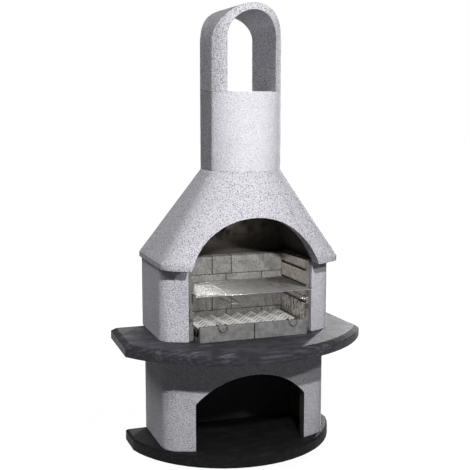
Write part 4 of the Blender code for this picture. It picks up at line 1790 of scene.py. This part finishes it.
@dataclass(frozen=True)
class FarLamp:
    """A lamp as far away as the sun. Azimuth 0 is in front and 90 is at +X.

    Attributes:
        name: Its name.
        azimuth: Where it stands round the object, in degrees.
        elevation: How high it stands, in degrees.
        strength: Its strength.
        angle: How wide it looks, in degrees: a wide lamp throws a soft shadow.
        colour: Its colour.
        distance: Where it is put, which doesn't change its light.
    """

    name: str
    azimuth: float
    elevation: float
    strength: float
    angle: float
    colour: Colour = (1.0, 1.0, 1.0)
    distance: float = 4.0

    def build(self) -> None:
        """Makes the lamp."""
        light = bpy.data.lights.new(self.name, "SUN")
        light.energy = self.strength
        light.angle = math.radians(self.angle)
        light.color = self.colour
        turn, rise = math.radians(self.azimuth), math.radians(self.elevation)
        level = math.cos(rise)
        towards = Vector((math.sin(turn) * level, -math.cos(turn) * level, math.sin(rise)))
        hang_lamp(self.name, light, towards * self.distance, -towards)


@dataclass(frozen=True)
class Studio:
    """A pale floor, a white surround and plain lamps.

    Attributes:
        lamps: The key in front, a small one for the glint on the wires, a low rim light behind at the
            right and a soft light at the left.
        fill: Strength of the light from the surround.
        floor_size: Width of the floor.
        floor_colour: Its colour under the lamps.
        glow_near: How bright the floor looks at the object, where 1 is white.
        glow_start: Distance from the object at which it starts to look brighter.
        glow_end: Distance at which it looks white.
    """

    lamps: tuple[NearLamp | FarLamp, ...] = (
        NearLamp("key", place=(-0.27, -2.24, 2.17), width=0.10, power=54.0),
        NearLamp("glint", place=(0.55, -2.2, 1.9), width=0.16, power=17.0),
        FarLamp("rim", azimuth=139.0, elevation=13.0, strength=5.0, angle=3.0, colour=(1.0, 0.98, 0.985)),
        FarLamp("side", azimuth=-88.0, elevation=60.0, strength=1.45, angle=35.0),
    )
    fill: float = 0.017
    floor_size: float = 60.0
    floor_colour: Colour = (0.12, 0.12, 0.12)
    glow_near: float = 0.90
    glow_start: float = 0.9
    glow_end: float = 3.0

    def seen_plainly(self, tree: bpy.types.NodeTree) -> Socket:
        """Returns 1 for the rays that should see the pale surround: camera, glossy and transmission rays.

        Args:
            tree: The node tree of the world or the floor.

        Returns:
            The largest of the three.
        """
        path = tree.nodes.new("ShaderNodeLightPath")
        rays = path.outputs["Is Camera Ray"]
        for name in ("Is Glossy Ray", "Is Transmission Ray"):
            larger = tree.nodes.new("ShaderNodeMath")
            larger.operation = "MAXIMUM"
            tree.links.new(rays, larger.inputs[0])
            tree.links.new(path.outputs[name], larger.inputs[1])
            rays = larger.outputs[0]
        return rays

    def surround(self) -> None:
        """Makes a world that is white to look at and lights the object softly."""
        world = bpy.data.worlds.new("surround")
        bpy.context.scene.world = world
        world.use_nodes = True
        tree = world.node_tree
        strength = tree.nodes.new("ShaderNodeMapRange")
        tree.links.new(self.seen_plainly(tree), strength.inputs["Value"])
        strength.inputs["To Min"].default_value = self.fill
        tree.links.new(strength.outputs["Result"], tree.nodes["Background"].inputs["Strength"])
        tree.nodes["Background"].inputs["Color"].default_value = (1.0, 1.0, 1.0, 1.0)

    def floor_material(self) -> bpy.types.Material:
        """Makes a dull material that keeps shadows, and that glows to look pale and then white farther out.

        Returns:
            The material.
        """
        material = bpy.data.materials.new("studio_floor")
        material.use_nodes = True
        tree = material.node_tree
        shader = tree.nodes["Principled BSDF"]
        shader.inputs["Base Color"].default_value = (*self.floor_colour, 1.0)
        shader.inputs["Roughness"].default_value = 1.0
        shader.inputs["Specular IOR Level"].default_value = 0.0
        shader.inputs["Emission Color"].default_value = (1.0, 1.0, 1.0, 1.0)
        place = tree.nodes.new("ShaderNodeTexCoord")
        distance = tree.nodes.new("ShaderNodeVectorMath")
        distance.operation = "LENGTH"
        tree.links.new(place.outputs["Object"], distance.inputs[0])
        rise = tree.nodes.new("ShaderNodeMapRange")
        rise.interpolation_type = "SMOOTHSTEP"
        tree.links.new(distance.outputs["Value"], rise.inputs["Value"])
        rise.inputs["From Min"].default_value = self.glow_start
        rise.inputs["From Max"].default_value = self.glow_end
        rise.inputs["To Min"].default_value = self.glow_near
        glow = tree.nodes.new("ShaderNodeMath")
        glow.operation = "MULTIPLY"
        tree.links.new(self.seen_plainly(tree), glow.inputs[0])
        tree.links.new(rise.outputs["Result"], glow.inputs[1])
        tree.links.new(glow.outputs[0], shader.inputs["Emission Strength"])
        return material

    def floor(self) -> None:
        """Makes the floor."""
        bm = bmesh.new()
        bmesh.ops.create_grid(bm, x_segments=1, y_segments=1, size=self.floor_size / 2)
        mesh = bpy.data.meshes.new("studio_floor")
        bm.to_mesh(mesh)
        bm.free()
        mesh.materials.append(self.floor_material())
        floor = bpy.data.objects.new("studio_floor", mesh)
        bpy.context.scene.collection.objects.link(floor)

    def build(self) -> None:
        """Makes the whole studio."""
        for lamp in self.lamps:
            lamp.build()
        self.surround()
        self.floor()


def main() -> None:
    """Builds the studio and every piece of the barbecue from the ground up."""
    logging.basicConfig(level=logging.INFO, format="%(name)s %(message)s")
    bpy.context.scene.view_settings.view_transform = "Standard"
    PhotoCamera().build()
    Studio().build()
    Slab("base_slab", BLACK_SLAB, seed=1.0).build()
    # The lower shell's store holds firewood, not fire: the dark on its inner faces is painted shade.
    HollowCasting("lower_shell", seed=2.0, speckle=0.6).build()
    Slab("worktop", DARK_SLAB, seed=4.0).build()
    Casting("cheek_left", seed=5.0).build()
    Casting("cheek_right", seed=6.0, speckle=0.45).build()
    FireLining().build()
    EmberTiles().build()
    CharcoalGrate().build()
    CookingGrate().build()
    Hood().build()
    # The chimney block's dark, densely specked sides are painted shade.
    HollowCasting("chimney_block", seed=7.0, speckle=0.42, side_speckle_and_shade=1.7, tone=0.08, side_shade=0.9).build()
    Casting("chimney_top", seed=8.0, speckle=0.9, side_speckle_and_shade=1.5, tone=0.05, side_shade=0.3).build()


if __name__ == "__main__":
    main()
